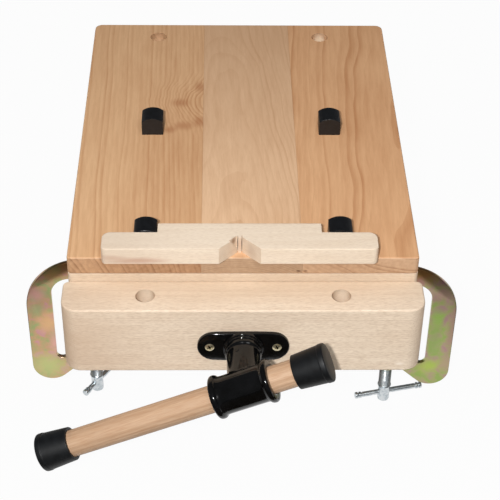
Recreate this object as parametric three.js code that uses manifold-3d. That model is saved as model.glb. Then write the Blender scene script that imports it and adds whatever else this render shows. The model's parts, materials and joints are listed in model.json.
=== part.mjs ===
// Clamp-on woodworking bench: a glued beech worktop on a low frame, with a front vise, bench dogs,
// a notched sawing board and two G-clamps that hold the frame to a table.
// Millimetres, +X right, +Y back, +Z up. The origin is the middle of the fixed jaw's underside,
// the face that rests on the table.

import * as THREE from 'three';
import { mergeVertices } from 'three/addons/utils/BufferGeometryUtils.js';
import Module from 'manifold-3d';

const wasm = await Module();
wasm.setup();

// Clearances
const FIT = 0.3; // round pieces in their bores, and pieces that slide or turn past each other
const SEAT = 0.05; // flat faces that bear on each other
const GLUE_LINE = 0.1; // between the worktop's staves

// Worktop: three staves that run front to back
const WORKTOP_WIDTH = 360;
const WORKTOP_LENGTH = 460;
const WORKTOP_THICKNESS = 21;
const WORKTOP_FRONT_CORNER = 4;
const WORKTOP_BACK_CORNER = 9;
const WORKTOP_EDGE = 2;
const LEFT_STAVE_WIDTH = 137;
const RIGHT_STAVE_WIDTH = 119;

// Dog holes and bench dogs
const DOG_HOLE_DIAMETER = 20;
const DOG_SPACING = 200;
const DOG_PITCH = 200;
const DOG_FRONT_INSET = 30;
const DOG_HOLE_SPARE = 3;
const DOG_HEAD_WIDTH = 24;
const DOG_HEAD_DEPTH = 24;
const DOG_HEAD_HEIGHT = 21.5;
const DOG_HEAD_ARCH = 4.5;
const DOG_SHANK_LENGTH = 32;
const DOG_SHANK_CHAMFER = 1.5;

// Frame under the worktop
const FRAME_HEIGHT = 79;
const FIXED_JAW_DEPTH = 45;
const FIXED_JAW_CORNER = 4;
const RAIL_WIDTH = 30;
const FRAME_BACK_INSET = 14;
const REAR_RAIL_DEPTH = 28;
const REAR_RAIL_SETBACK = 50;
const FRAME_SCREW_END = 60;
const FRAME_SCREW_FROM_VISE = 36;
const FRAME_SCREW_HEAD = 10;
const FRAME_SCREW_HEAD_HEIGHT = 4;
const FRAME_SCREW_SHANK = 5;
const FRAME_SCREW_LENGTH = 50;
const FRAME_SCREW_COVER = 6;

// Moving jaw
const JAW_DEPTH = 46;
const JAW_OVERHANG = 5;
const JAW_TOP_DROP = 30.5;
const JAW_DIP = 14.3;
const JAW_FRONT_CORNER = 17;
const JAW_BACK_CORNER = 6;
const JAW_EDGE = 2;

// Vise screw, its nut and the collar plate on the jaw
const VISE_HEIGHT = 23;
const VISE_OPENING = 110;
const SCREW_DIAMETER = 20;
const SCREW_SPIGOT_DIAMETER = 16;
const SCREW_SPIGOT_WALL = 6;
const SCREW_TAIL_DIAMETER = 12;
const SCREW_TAIL_SPARE = 4;
const CLIP_DIAMETER = 30;
const CLIP_THICKNESS = 3;
const CLIP_MOUTH_ANGLE = 100;
const CLIP_GROOVE_DEPTH = 1.8;
const CLIP_ROOM = 1.5;
const PLATE_LENGTH = 94.5;
const PLATE_HEIGHT = 37.4;
const PLATE_THICKNESS = 4;
const PLATE_SCREW_SPACING = 69;
const PLATE_SCREW_HEAD = 9.5;
const PLATE_SCREW_HEAD_HEIGHT = 3;
const PLATE_SCREW_SHANK = 4.5;
const PLATE_SCREW_LENGTH = 24;
const COLLAR_DIAMETER = 41.5;
const COLLAR_LENGTH = 6;
const COLLAR_ROUND = 2;
const NUT_FLANGE_LENGTH = 66;
const NUT_FLANGE_HEIGHT = 34;
const NUT_FLANGE_THICKNESS = 6;
const NUT_FLANGE_CORNER = 8.5;
const NUT_BOSS_DIAMETER = 34;
const NUT_BOSS_LENGTH = 24;
const NUT_SCREW_SPACING = 50;
const NUT_SCREW_HEAD = 9;
const NUT_SCREW_HEAD_HEIGHT = 3.5;
const NUT_SCREW_SHANK = 4.5;
const NUT_SCREW_LENGTH = 26;
const SCREW_POINT = 6;
const RECESS_LENGTH = 6;
const RECESS_WIDTH = 1.2;
const RECESS_DEPTH = 1.6;

// Guide bars that keep the moving jaw square, and the yoke that links them
const GUIDE_DIAMETER = 18;
const GUIDE_FROM_RAIL = 20;
const GUIDE_SOCKET_DEPTH = 34;
const GUIDE_SPIGOT_DIAMETER = 10;
const GUIDE_PIN_DIAMETER = 6;
const GUIDE_PIN_SINK = 3;
const GUIDE_PIN_REACH = 5;
const BUSH_DIAMETER = 24;
const BUSH_FLANGE_DIAMETER = 32;
const BUSH_FLANGE_THICKNESS = 3;
const BUSH_INSET = 1;
const YOKE_HEIGHT = 28;
const YOKE_CORNER = 7;
const YOKE_THICKNESS = 6;
const YOKE_END = 13;
const YOKE_CLEARANCE = 6;
const YOKE_NUT_ACROSS_FLATS = 16;
const YOKE_NUT_HEIGHT = 8;
const YOKE_SPIGOT_SPARE = 2;

// Hub and sliding handle
const HUB_REACH = 64;
const STEM_DIAMETER = 34;
const STEM_FLANGE_DIAMETER = 38;
const STEM_FLANGE_LENGTH = 4;
const BARREL_DIAMETER = 39.2;
const BARREL_LENGTH = 62;
const BARREL_LIP_DIAMETER = 45;
const BARREL_LIP_LENGTH = 6;
const BARREL_LIP_ROUND = 2;
const HUB_PIN_DIAMETER = 5;
const HUB_PIN_SINK = 0.5;
const HANDLE_TILT = 24;
const HANDLE_DIAMETER = 28;
const HANDLE_LENGTH = 303;
const HANDLE_SHIFT = -67.6;
const CAP_LENGTH = 35.5;
const CAP_SOCKET_DEPTH = 28;
const CAP_MOUTH_DIAMETER = 35;
const CAP_END_DIAMETER = 40;
const CAP_END_ROUND = 4;

// Sawing board that the front dogs hold
const BOARD_LENGTH = 280;
const BOARD_THICKNESS = 20;
const BOARD_BAR_DEPTH = 27.6;
const BOARD_TONGUE_DEPTH = 14.5;
const BOARD_TONGUE_PLAY = 8;
const BOARD_BACK_CORNER = 9;
const BOARD_FRONT_CORNER = 5;
const BOARD_TONGUE_CORNER = 1.5;
const BOARD_EDGE = 1;
const NOTCH_WIDTH = 43;
const NOTCH_ROOT = 5.4;
const KERF_WIDTH = 1.2;
const KERF_OVERCUT = 2.4;
const CHIP_LENGTH = 10;
const CHIP_HEIGHT = 13.5;
const CHIP_DEPTH = 2.2;

// G-clamps: a flat steel hook whose upper arm passes through a slot in the side rail
const CLAMP_THICKNESS = 5;
const CLAMP_SHIFT = 5;
const CLAMP_SLOT_PLAY = 2.5;
const CLAMP_SLOT_HEADROOM = 4;
const CLAMP_SLOT_FROM_JAW = 5;
const CLAMP_LEDGE = 18;
const CLAMP_ARM_HEIGHT = 25.3;
const CLAMP_BACK_WIDTH = 28.3;
const CLAMP_STANDOFF = 56.5;
const CLAMP_OUTER_RADIUS = 66;
const CLAMP_INNER_RADIUS = 22;
const CLAMP_THROAT = 116.3;
const CLAMP_LOWER_WIDTH = 24;
const CLAMP_LOWER_RISE = 31;
const CLAMP_HEEL_RADIUS = 21;
const CLAMP_TOE_RADIUS = 6;
const CLAMP_BOSS_DIAMETER = 23;
const CLAMP_BOSS_HEIGHT = 18;
const CLAMP_SCREW_DIAMETER = 14;
const CLAMP_SCREW_LENGTH = 113;
const CLAMP_SCREW_HEAD = 13.4;
const CLAMP_SCREW_HEAD_LENGTH = 22;
const CLAMP_SCREW_CHAMFER = 1;
const CLAMP_TIP_DIAMETER = 8;
const CLAMP_TIP_LENGTH = 5;
const CLAMP_PAD_DIAMETER = 26;
const CLAMP_PAD_HEIGHT = 10;
const CLAMP_PAD_CHAMFER = 1.5;
const LEFT_CLAMP_OPENING = 25;
const RIGHT_CLAMP_OPENING = 32;
const TOMMY_DIAMETER = 6;
const TOMMY_KNOB_DIAMETER = 8.4;
const TOMMY_KNOB_LENGTH = 4;
const TOMMY_KNOB_CHAMFER = 1;
const TOMMY_LENGTH = 80;
const TOMMY_HEIGHT = 10.5;
const LEFT_TOMMY_YAW = 58;
const LEFT_TOMMY_SHIFT = -16;
const RIGHT_TOMMY_YAW = 13;
const RIGHT_TOMMY_SHIFT = 5.5;

// Facets of round faces
const ROUND_STEPS = 24;
const SMALL_ROUND_STEPS = 12;
const ARC_STEPS = 5;
const EDGE_STEPS = 2;

// Places worked out from the sizes above
const HALF_WIDTH = WORKTOP_WIDTH / 2;
const FRONT_Y = -FIXED_JAW_DEPTH / 2;
const FRAME_JOINT_Y = FIXED_JAW_DEPTH / 2;
const BACK_Y = FRONT_Y + WORKTOP_LENGTH;
const UNDERSIDE_Z = FRAME_HEIGHT + SEAT;
const TOP_Z = UNDERSIDE_Z + WORKTOP_THICKNESS;
const LEFT_GLUE_X = LEFT_STAVE_WIDTH - HALF_WIDTH;
const RIGHT_GLUE_X = HALF_WIDTH - RIGHT_STAVE_WIDTH;
const RAIL_X = HALF_WIDTH - RAIL_WIDTH / 2;
const RAIL_INNER_X = HALF_WIDTH - RAIL_WIDTH;
const RAIL_FRONT_Y = FRAME_JOINT_Y + SEAT;
const RAIL_END_Y = BACK_Y - FRAME_BACK_INSET;
const REAR_RAIL_BACK_Y = RAIL_END_Y - REAR_RAIL_SETBACK;
const REAR_RAIL_Y = REAR_RAIL_BACK_Y - REAR_RAIL_DEPTH / 2;
const FRAME_SCREW_TIP_Z = TOP_Z - FRAME_SCREW_COVER;

const DOG_X = DOG_SPACING / 2;
const DOG_ROW_COUNT = 1 + Math.floor((WORKTOP_LENGTH - DOG_FRONT_INSET - DOG_HOLE_DIAMETER) / DOG_PITCH);
const DOG_ROWS = Array.from({ length: DOG_ROW_COUNT },
  (_, row) => FRONT_Y + DOG_FRONT_INSET + row * DOG_PITCH);

const JAW_BACK_Y = FRONT_Y - FIT;
const JAW_FRONT_Y = JAW_BACK_Y - JAW_DEPTH;
const JAW_Y = (JAW_BACK_Y + JAW_FRONT_Y) / 2;
const JAW_TOP_Z = TOP_Z - JAW_TOP_DROP;
const JAW_BOTTOM_Z = -JAW_DIP;

const PLATE_BACK_Y = JAW_FRONT_Y - SEAT;
const PLATE_FRONT_Y = PLATE_BACK_Y - PLATE_THICKNESS;
const COLLAR_FRONT_Y = PLATE_FRONT_Y - COLLAR_LENGTH;
const CLIP_FRONT_Y = JAW_FRONT_Y + FIT;
const CLIP_BACK_Y = CLIP_FRONT_Y + CLIP_THICKNESS;
const STEM_END_Y = COLLAR_FRONT_Y - FIT;
const BARREL_Y = JAW_FRONT_Y - HUB_REACH;
const SPIGOT_FRONT_Y = BARREL_Y + BARREL_DIAMETER / 2 + SCREW_SPIGOT_WALL;
const HUB_PIN_Y = (SPIGOT_FRONT_Y + STEM_END_Y) / 2;

const NUT_FRONT_Y = FRAME_JOINT_Y + SEAT;
const NUT_FLANGE_BACK_Y = NUT_FRONT_Y + NUT_FLANGE_THICKNESS;
const NUT_BACK_Y = NUT_FLANGE_BACK_Y + NUT_BOSS_LENGTH;
const YOKE_FRONT_Y = NUT_BACK_Y + VISE_OPENING + YOKE_CLEARANCE;
const YOKE_BACK_Y = YOKE_FRONT_Y + YOKE_THICKNESS;
const YOKE_NUT_Y = YOKE_BACK_Y + SEAT;
const GUIDE_X = RAIL_INNER_X - GUIDE_FROM_RAIL;
const GUIDE_FRONT_Y = JAW_BACK_Y - GUIDE_SOCKET_DEPTH + FIT;
const GUIDE_PIN_Y = JAW_BACK_Y - GUIDE_SOCKET_DEPTH / 2;

const BOARD_Z = TOP_Z + SEAT;
const BOARD_SHOULDER_Y = DOG_ROWS[0] - DOG_HEAD_DEPTH / 2 - FIT;
const BOARD_FRONT_Y = BOARD_SHOULDER_Y - BOARD_BAR_DEPTH;
const BOARD_BACK_Y = BOARD_SHOULDER_Y + BOARD_TONGUE_DEPTH;
const TONGUE_WIDTH = DOG_SPACING - DOG_HEAD_WIDTH - BOARD_TONGUE_PLAY;
const BOARD_X = FIT - BOARD_TONGUE_PLAY / 2;

const CLAMP_SLOT_WIDTH = CLAMP_THICKNESS + 2 * CLAMP_SHIFT + 2 * CLAMP_SLOT_PLAY;
const CLAMP_SLOT_Y = FRAME_JOINT_Y + CLAMP_SLOT_FROM_JAW + CLAMP_SLOT_WIDTH / 2;
const CLAMP_ARM_BOTTOM_Z = CLAMP_LEDGE + FIT;
const CLAMP_ARM_TOP_Z = CLAMP_ARM_BOTTOM_Z + CLAMP_ARM_HEIGHT;

const SIDES = [
  { name: 'left', sign: -1, turn: Math.PI, clampShift: CLAMP_SHIFT, clampOpening: LEFT_CLAMP_OPENING,
    tommyYaw: LEFT_TOMMY_YAW, tommyShift: LEFT_TOMMY_SHIFT },
  { name: 'right', sign: 1, turn: 0, clampShift: -CLAMP_SHIFT, clampOpening: RIGHT_CLAMP_OPENING,
    tommyYaw: RIGHT_TOMMY_YAW, tommyShift: RIGHT_TOMMY_SHIFT },
];

const FINISHES = {
  oiledBeech: { color: 0xc69c6d, roughness: 0.55, metalness: 0 },
  rawBeech: { color: 0xe3cdb0, roughness: 0.65, metalness: 0 },
  blackEnamel: { color: 0x111112, roughness: 0.25, metalness: 0 },
  blackPlastic: { color: 0x1c1d1f, roughness: 0.45, metalness: 0 },
  blackRubber: { color: 0x1e2026, roughness: 0.6, metalness: 0 },
  yellowZinc: { color: 0xa8935a, roughness: 0.35, metalness: 1 },
  brightSteel: { color: 0xb6bcbf, roughness: 0.3, metalness: 1 },
  castIron: { color: 0x3a3a3b, roughness: 0.6, metalness: 1 },
};

function piece(name, geometry, finish) {
  const mesh = new THREE.Mesh(geometry, new THREE.MeshStandardMaterial(FINISHES[finish]));
  mesh.name = name;
  return mesh;
}

function groupOf(pieces) {
  const group = new THREE.Group();
  group.add(...pieces);
  return group;
}

// A closed three.js geometry as a solid that can be joined and cut
function solidOf(geometry) {
  const bare = geometry.clone();
  bare.deleteAttribute('normal');
  bare.deleteAttribute('uv');
  const merged = mergeVertices(bare);
  const vertProperties = merged.attributes.position.array;
  const triVerts = new Uint32Array(merged.index.array);
  return new wasm.Manifold(new wasm.Mesh({ numProp: 3, vertProperties, triVerts }));
}

function geometryOf(solid) {
  const mesh = solid.getMesh();
  const geometry = new THREE.BufferGeometry();
  geometry.setAttribute('position', new THREE.BufferAttribute(mesh.vertProperties, 3));
  geometry.setIndex(new THREE.BufferAttribute(mesh.triVerts, 1));
  geometry.computeVertexNormals();
  return geometry;
}

function joined(geometries) {
  return geometryOf(geometries.map(solidOf).reduce((whole, part) => whole.add(part)));
}

function carved(geometry, cutters) {
  const solids = cutters.map(solidOf);
  return geometryOf(solids.reduce((whole, cutter) => whole.subtract(cutter), solidOf(geometry)));
}

function box(x0, y0, z0, x1, y1, z1) {
  const geometry = new THREE.BoxGeometry(x1 - x0, y1 - y0, z1 - z0);
  return geometry.translate((x0 + x1) / 2, (y0 + y1) / 2, (z0 + z1) / 2);
}

// An outline in XY raised from z0 to z1, with both rims rounded by `edge`
function raised(shape, z0, z1, edge = 0) {
  const geometry = new THREE.ExtrudeGeometry(shape, {
    depth: z1 - z0 - 2 * edge,
    curveSegments: ARC_STEPS,
    bevelEnabled: edge > 0,
    bevelSize: edge,
    bevelThickness: edge,
    bevelOffset: -edge,
    bevelSegments: EDGE_STEPS,
  });
  return geometry.translate(0, 0, z0 + edge);
}

// An outline in XZ drawn out from y0 to y1
function drawnOut(shape, y0, y1) {
  return raised(shape, -y1, -y0).rotateX(Math.PI / 2);
}

// A profile of [radius, height] pairs turned about Y, Z or X
function turnedY(profile, steps = ROUND_STEPS) {
  const points = profile.map(([radius, height]) => new THREE.Vector2(radius, height));
  return new THREE.LatheGeometry(points, steps);
}

function turnedZ(profile, steps) {
  return turnedY(profile, steps).rotateX(Math.PI / 2);
}

function turnedX(profile, steps) {
  return turnedY(profile, steps).rotateZ(-Math.PI / 2);
}

function rodProfile(diameter, from, to) {
  return [[0, from], [diameter / 2, from], [diameter / 2, to], [0, to]];
}

function roundedRectangle(x0, y0, x1, y1, lowRadius, highRadius = lowRadius) {
  const shape = new THREE.Shape();
  shape.absarc(x1 - lowRadius, y0 + lowRadius, lowRadius, -Math.PI / 2, 0);
  shape.absarc(x1 - highRadius, y1 - highRadius, highRadius, 0, Math.PI / 2);
  shape.absarc(x0 + highRadius, y1 - highRadius, highRadius, Math.PI / 2, Math.PI);
  shape.absarc(x0 + lowRadius, y0 + lowRadius, lowRadius, Math.PI, 1.5 * Math.PI);
  return shape;
}

function polygon(points) {
  return new THREE.Shape(points.map(([x, y]) => new THREE.Vector2(x, y)));
}

// A wood screw with its head at z = 0 and its point up +Z. A cone-shaped head is countersunk.
function woodScrew({ head, headHeight, shank, length, countersunk }) {
  const shoulder = countersunk ? [] : [[head / 2, headHeight]];
  const blank = turnedZ([[0, 0], [head / 2, 0], ...shoulder, [shank / 2, headHeight],
    [shank / 2, length - SCREW_POINT], [0, length]], SMALL_ROUND_STEPS);
  const arm = RECESS_LENGTH / 2;
  const half = RECESS_WIDTH / 2;
  return carved(blank, [
    box(-arm, -half, -RECESS_DEPTH, arm, half, RECESS_DEPTH),
    box(-half, -arm, -RECESS_DEPTH, half, arm, RECESS_DEPTH),
  ]);
}

// The hole that clears a wood screw, open for `access` behind its head
function woodScrewHole({ head, headHeight, shank, length, countersunk }, access) {
  const shoulder = countersunk ? [] : [[head / 2 + FIT, headHeight + SEAT]];
  return turnedZ([[0, -access], [head / 2 + FIT, -access], [head / 2 + FIT, 0], ...shoulder,
    [shank / 2 + FIT, headHeight + SEAT], [shank / 2 + FIT, length], [0, length + FIT]], SMALL_ROUND_STEPS);
}

const FRAME_SCREW = { head: FRAME_SCREW_HEAD, headHeight: FRAME_SCREW_HEAD_HEIGHT, shank: FRAME_SCREW_SHANK,
  length: FRAME_SCREW_LENGTH };
const PLATE_SCREW = { head: PLATE_SCREW_HEAD, headHeight: PLATE_SCREW_HEAD_HEIGHT, shank: PLATE_SCREW_SHANK,
  length: PLATE_SCREW_LENGTH, countersunk: true };
const NUT_SCREW = { head: NUT_SCREW_HEAD, headHeight: NUT_SCREW_HEAD_HEIGHT, shank: NUT_SCREW_SHANK,
  length: NUT_SCREW_LENGTH };

// Screws that go up through the frame into the worktop
const FRAME_SCREW_HEAD_Z = FRAME_SCREW_TIP_Z - FRAME_SCREW_LENGTH;
const FRAME_SCREW_PLACES = {
  fixed_jaw: [[-RAIL_X, 0], [FRAME_SCREW_FROM_VISE, 0], [RAIL_X, 0]],
  left_rail: [[-RAIL_X, RAIL_FRONT_Y + FRAME_SCREW_END], [-RAIL_X, RAIL_END_Y - FRAME_SCREW_END]],
  right_rail: [[RAIL_X, RAIL_FRONT_Y + FRAME_SCREW_END], [RAIL_X, RAIL_END_Y - FRAME_SCREW_END]],
  rear_rail: [
    [(LEFT_GLUE_X - RAIL_INNER_X) / 2, REAR_RAIL_Y],
    [(LEFT_GLUE_X + RIGHT_GLUE_X) / 2, REAR_RAIL_Y],
    [(RIGHT_GLUE_X + RAIL_INNER_X) / 2, REAR_RAIL_Y],
  ],
};

function frameScrewHoles(places) {
  return places.map(([x, y]) =>
    woodScrewHole(FRAME_SCREW, FRAME_SCREW_HEAD_Z + FIT).translate(x, y, FRAME_SCREW_HEAD_Z));
}

function frameScrews() {
  return Object.entries(FRAME_SCREW_PLACES).flatMap(([rail, places]) => places.map(([x, y], index) => {
    const screw = piece(`${rail}_screw_${index + 1}`, woodScrew(FRAME_SCREW), 'brightSteel');
    screw.position.set(x, y, FRAME_SCREW_HEAD_Z);
    return screw;
  }));
}

function dogHole(x, y, bottom, top) {
  return turnedZ(rodProfile(DOG_HOLE_DIAMETER, bottom, top)).translate(x, y, 0);
}

function worktop() {
  const outline = roundedRectangle(-HALF_WIDTH, FRONT_Y, HALF_WIDTH, BACK_Y,
    WORKTOP_FRONT_CORNER, WORKTOP_BACK_CORNER);
  const dogHoles = DOG_ROWS.flatMap((y) => SIDES.map(({ sign }) =>
    dogHole(sign * DOG_X, y, UNDERSIDE_Z - FIT, TOP_Z + FIT)));
  const screwHoles = frameScrewHoles(Object.values(FRAME_SCREW_PLACES).flat());
  const slab = raised(outline, UNDERSIDE_Z, TOP_Z, WORKTOP_EDGE);
  const drilled = solidOf(carved(slab, [...dogHoles, ...screwHoles]));
  const staves = {
    left_stave: [-HALF_WIDTH - FIT, LEFT_GLUE_X - GLUE_LINE / 2],
    middle_stave: [LEFT_GLUE_X + GLUE_LINE / 2, RIGHT_GLUE_X - GLUE_LINE / 2],
    right_stave: [RIGHT_GLUE_X + GLUE_LINE / 2, HALF_WIDTH + FIT],
  };
  return Object.entries(staves).map(([name, [x0, x1]]) => {
    const strip = solidOf(box(x0, FRONT_Y - FIT, UNDERSIDE_Z - FIT, x1, BACK_Y + FIT, TOP_Z + FIT));
    return piece(name, geometryOf(drilled.intersect(strip)), 'oiledBeech');
  });
}

function fixedJaw() {
  const outline = roundedRectangle(-HALF_WIDTH, FRONT_Y, HALF_WIDTH, FRAME_JOINT_Y, FIXED_JAW_CORNER);
  const dogHoleBottom = TOP_Z - DOG_SHANK_LENGTH - DOG_HOLE_SPARE;
  const through = [FRONT_Y - FIT, FRAME_JOINT_Y + FIT];
  return piece('fixed_jaw', carved(raised(outline, 0, FRAME_HEIGHT), [
    ...SIDES.map(({ sign }) => dogHole(sign * DOG_X, DOG_ROWS[0], dogHoleBottom, TOP_Z)),
    ...SIDES.map(({ sign }) =>
      turnedY(rodProfile(BUSH_DIAMETER + 2 * FIT, ...through)).translate(sign * GUIDE_X, 0, VISE_HEIGHT)),
    turnedY(rodProfile(SCREW_DIAMETER + 2 * FIT, ...through)).translate(0, 0, VISE_HEIGHT),
    ...nutScrewPlaced(() => woodScrewHole(NUT_SCREW, NUT_SCREW_HEAD)),
    ...frameScrewHoles(FRAME_SCREW_PLACES.fixed_jaw),
  ]), 'rawBeech');
}

function sideRail({ name, sign }) {
  const slotTop = CLAMP_ARM_TOP_Z + CLAMP_SLOT_HEADROOM;
  const slotHalf = CLAMP_SLOT_WIDTH / 2;
  const inner = sign * RAIL_INNER_X;
  const outer = sign * HALF_WIDTH;
  const [x0, x1] = [Math.min(inner, outer), Math.max(inner, outer)];
  return piece(`${name}_rail`, carved(box(x0, RAIL_FRONT_Y, 0, x1, RAIL_END_Y, FRAME_HEIGHT), [
    box(x0 - FIT, CLAMP_SLOT_Y - slotHalf, CLAMP_LEDGE, x1 + FIT, CLAMP_SLOT_Y + slotHalf, slotTop),
    ...frameScrewHoles(FRAME_SCREW_PLACES[`${name}_rail`]),
  ]), 'rawBeech');
}

function rearRail() {
  const reach = RAIL_INNER_X - SEAT;
  const blank = box(-reach, REAR_RAIL_BACK_Y - REAR_RAIL_DEPTH, 0, reach, REAR_RAIL_BACK_Y, FRAME_HEIGHT);
  return piece('rear_rail', carved(blank, frameScrewHoles(FRAME_SCREW_PLACES.rear_rail)), 'rawBeech');
}

// Copies of a shape made along +Z, turned to point forward from the nut's flange
function nutScrewPlaced(makeShape) {
  return SIDES.map(({ sign }) => makeShape().rotateX(Math.PI / 2).translate(
    sign * NUT_SCREW_SPACING / 2, NUT_FLANGE_BACK_Y + NUT_SCREW_HEAD_HEIGHT + SEAT, VISE_HEIGHT));
}

// Copies of a shape made along +Z, turned to point back from the collar plate's face
function plateScrewPlaced(makeShape) {
  return SIDES.map(({ sign }) => makeShape().rotateX(-Math.PI / 2).translate(
    sign * PLATE_SCREW_SPACING / 2, PLATE_FRONT_Y, VISE_HEIGHT));
}

function viseNut() {
  const flange = roundedRectangle(-NUT_FLANGE_LENGTH / 2, -NUT_FLANGE_HEIGHT / 2, NUT_FLANGE_LENGTH / 2,
    NUT_FLANGE_HEIGHT / 2, NUT_FLANGE_CORNER);
  const body = joined([
    drawnOut(flange, NUT_FRONT_Y, NUT_FLANGE_BACK_Y),
    turnedY(rodProfile(NUT_BOSS_DIAMETER, NUT_FRONT_Y, NUT_BACK_Y)),
  ]).translate(0, 0, VISE_HEIGHT);
  const bore = turnedY(rodProfile(SCREW_DIAMETER + 2 * FIT, NUT_FRONT_Y - FIT, NUT_BACK_Y + FIT));
  const nut = carved(body, [
    bore.translate(0, 0, VISE_HEIGHT),
    ...nutScrewPlaced(() => woodScrewHole(NUT_SCREW, NUT_SCREW_HEAD)),
  ]);
  const screws = nutScrewPlaced(() => woodScrew(NUT_SCREW));
  return [
    piece('vise_nut', nut, 'castIron'),
    ...screws.map((screw, index) => piece(`nut_screw_${SIDES[index].name}`, screw, 'brightSteel')),
  ];
}

function guideBush({ name, sign }) {
  const front = FRONT_Y + BUSH_INSET;
  const flangeFront = FRAME_JOINT_Y + SEAT;
  const back = flangeFront + BUSH_FLANGE_THICKNESS;
  const bore = GUIDE_DIAMETER / 2 + FIT;
  const bush = turnedY([[bore, front], [BUSH_DIAMETER / 2, front], [BUSH_DIAMETER / 2, flangeFront],
    [BUSH_FLANGE_DIAMETER / 2, flangeFront], [BUSH_FLANGE_DIAMETER / 2, back], [bore, back], [bore, front]]);
  return piece(`guide_bush_${name}`, bush.translate(sign * GUIDE_X, 0, VISE_HEIGHT), 'blackPlastic');
}

function movingJaw() {
  const half = HALF_WIDTH + JAW_OVERHANG;
  const outline = roundedRectangle(-half, JAW_FRONT_Y, half, JAW_BACK_Y, JAW_FRONT_CORNER, JAW_BACK_CORNER);
  const dogHoleBottom = JAW_TOP_Z - DOG_SHANK_LENGTH - DOG_HOLE_SPARE;
  const clipRoomDepth = FIT + CLIP_THICKNESS + CLIP_ROOM;
  const pinHoleTop = VISE_HEIGHT + GUIDE_DIAMETER / 2 + GUIDE_PIN_REACH + FIT;
  return piece('moving_jaw', carved(raised(outline, JAW_BOTTOM_Z, JAW_TOP_Z, JAW_EDGE), [
    ...SIDES.map(({ sign }) => dogHole(sign * DOG_X, JAW_Y, dogHoleBottom, JAW_TOP_Z + FIT)),
    turnedY(rodProfile(SCREW_DIAMETER + 2 * FIT, JAW_FRONT_Y - FIT, JAW_BACK_Y + FIT))
      .translate(0, 0, VISE_HEIGHT),
    turnedY(rodProfile(CLIP_DIAMETER + 2 * CLIP_ROOM, JAW_FRONT_Y - FIT, JAW_FRONT_Y + clipRoomDepth))
      .translate(0, 0, VISE_HEIGHT),
    ...SIDES.map(({ sign }) =>
      turnedY(rodProfile(GUIDE_DIAMETER + 2 * FIT, JAW_BACK_Y - GUIDE_SOCKET_DEPTH, JAW_BACK_Y + FIT))
        .translate(sign * GUIDE_X, 0, VISE_HEIGHT)),
    ...SIDES.map(({ sign }) =>
      turnedZ(rodProfile(GUIDE_PIN_DIAMETER + 2 * FIT, JAW_BOTTOM_Z - FIT, pinHoleTop), SMALL_ROUND_STEPS)
        .translate(sign * GUIDE_X, GUIDE_PIN_Y, 0)),
    ...plateScrewPlaced(() => woodScrewHole(PLATE_SCREW, FIT)),
  ]), 'rawBeech');
}

function collarPlate() {
  const outline = roundedRectangle(-PLATE_LENGTH / 2, -PLATE_HEIGHT / 2, PLATE_LENGTH / 2, PLATE_HEIGHT / 2,
    PLATE_HEIGHT / 2 - SEAT);
  const collarRadius = COLLAR_DIAMETER / 2;
  const body = joined([
    drawnOut(outline, PLATE_FRONT_Y, PLATE_BACK_Y),
    turnedY([[0, COLLAR_FRONT_Y], [collarRadius - COLLAR_ROUND, COLLAR_FRONT_Y],
      [collarRadius, COLLAR_FRONT_Y + COLLAR_ROUND], [collarRadius, PLATE_BACK_Y], [0, PLATE_BACK_Y]]),
  ]).translate(0, 0, VISE_HEIGHT);
  const bore = turnedY(rodProfile(SCREW_DIAMETER + 2 * FIT, COLLAR_FRONT_Y - FIT, PLATE_BACK_Y + FIT));
  const plate = carved(body, [
    bore.translate(0, 0, VISE_HEIGHT),
    ...plateScrewPlaced(() => woodScrewHole(PLATE_SCREW, FIT)),
  ]);
  const screws = plateScrewPlaced(() => woodScrew(PLATE_SCREW));
  return [
    piece('collar_plate', plate, 'blackEnamel'),
    ...screws.map((screw, index) => piece(`plate_screw_${SIDES[index].name}`, screw, 'yellowZinc')),
  ];
}

function guideBar({ name, sign }) {
  const shoulderY = YOKE_FRONT_Y - SEAT;
  const endY = YOKE_NUT_Y + YOKE_NUT_HEIGHT + YOKE_SPIGOT_SPARE;
  const radius = GUIDE_DIAMETER / 2;
  const spigotRadius = GUIDE_SPIGOT_DIAMETER / 2;
  const blank = turnedY([[0, GUIDE_FRONT_Y], [radius, GUIDE_FRONT_Y], [radius, shoulderY],
    [spigotRadius, shoulderY], [spigotRadius, endY], [0, endY]]);
  const pinHole = turnedZ(rodProfile(GUIDE_PIN_DIAMETER + 2 * FIT, -GUIDE_DIAMETER, GUIDE_DIAMETER),
    SMALL_ROUND_STEPS).translate(0, GUIDE_PIN_Y, 0);
  const pin = turnedZ(rodProfile(GUIDE_PIN_DIAMETER, JAW_BOTTOM_Z + GUIDE_PIN_SINK,
    VISE_HEIGHT + radius + GUIDE_PIN_REACH), SMALL_ROUND_STEPS);
  const bar = carved(blank, [pinHole]);
  return [
    piece(`guide_bar_${name}`, bar.translate(sign * GUIDE_X, 0, VISE_HEIGHT), 'brightSteel'),
    piece(`guide_pin_${name}`, pin.translate(sign * GUIDE_X, GUIDE_PIN_Y, 0), 'brightSteel'),
  ];
}

function hexagon(acrossFlats) {
  const radius = acrossFlats / Math.sqrt(3);
  const corners = Array.from({ length: 6 }, (_, corner) => corner * Math.PI / 3);
  return polygon(corners.map((angle) => [radius * Math.cos(angle), radius * Math.sin(angle)]));
}

function withRoundHole(shape, x, diameter) {
  const hole = new THREE.Path();
  hole.absarc(x, 0, diameter / 2, 0, 2 * Math.PI);
  shape.holes.push(hole);
  return shape;
}

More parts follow.
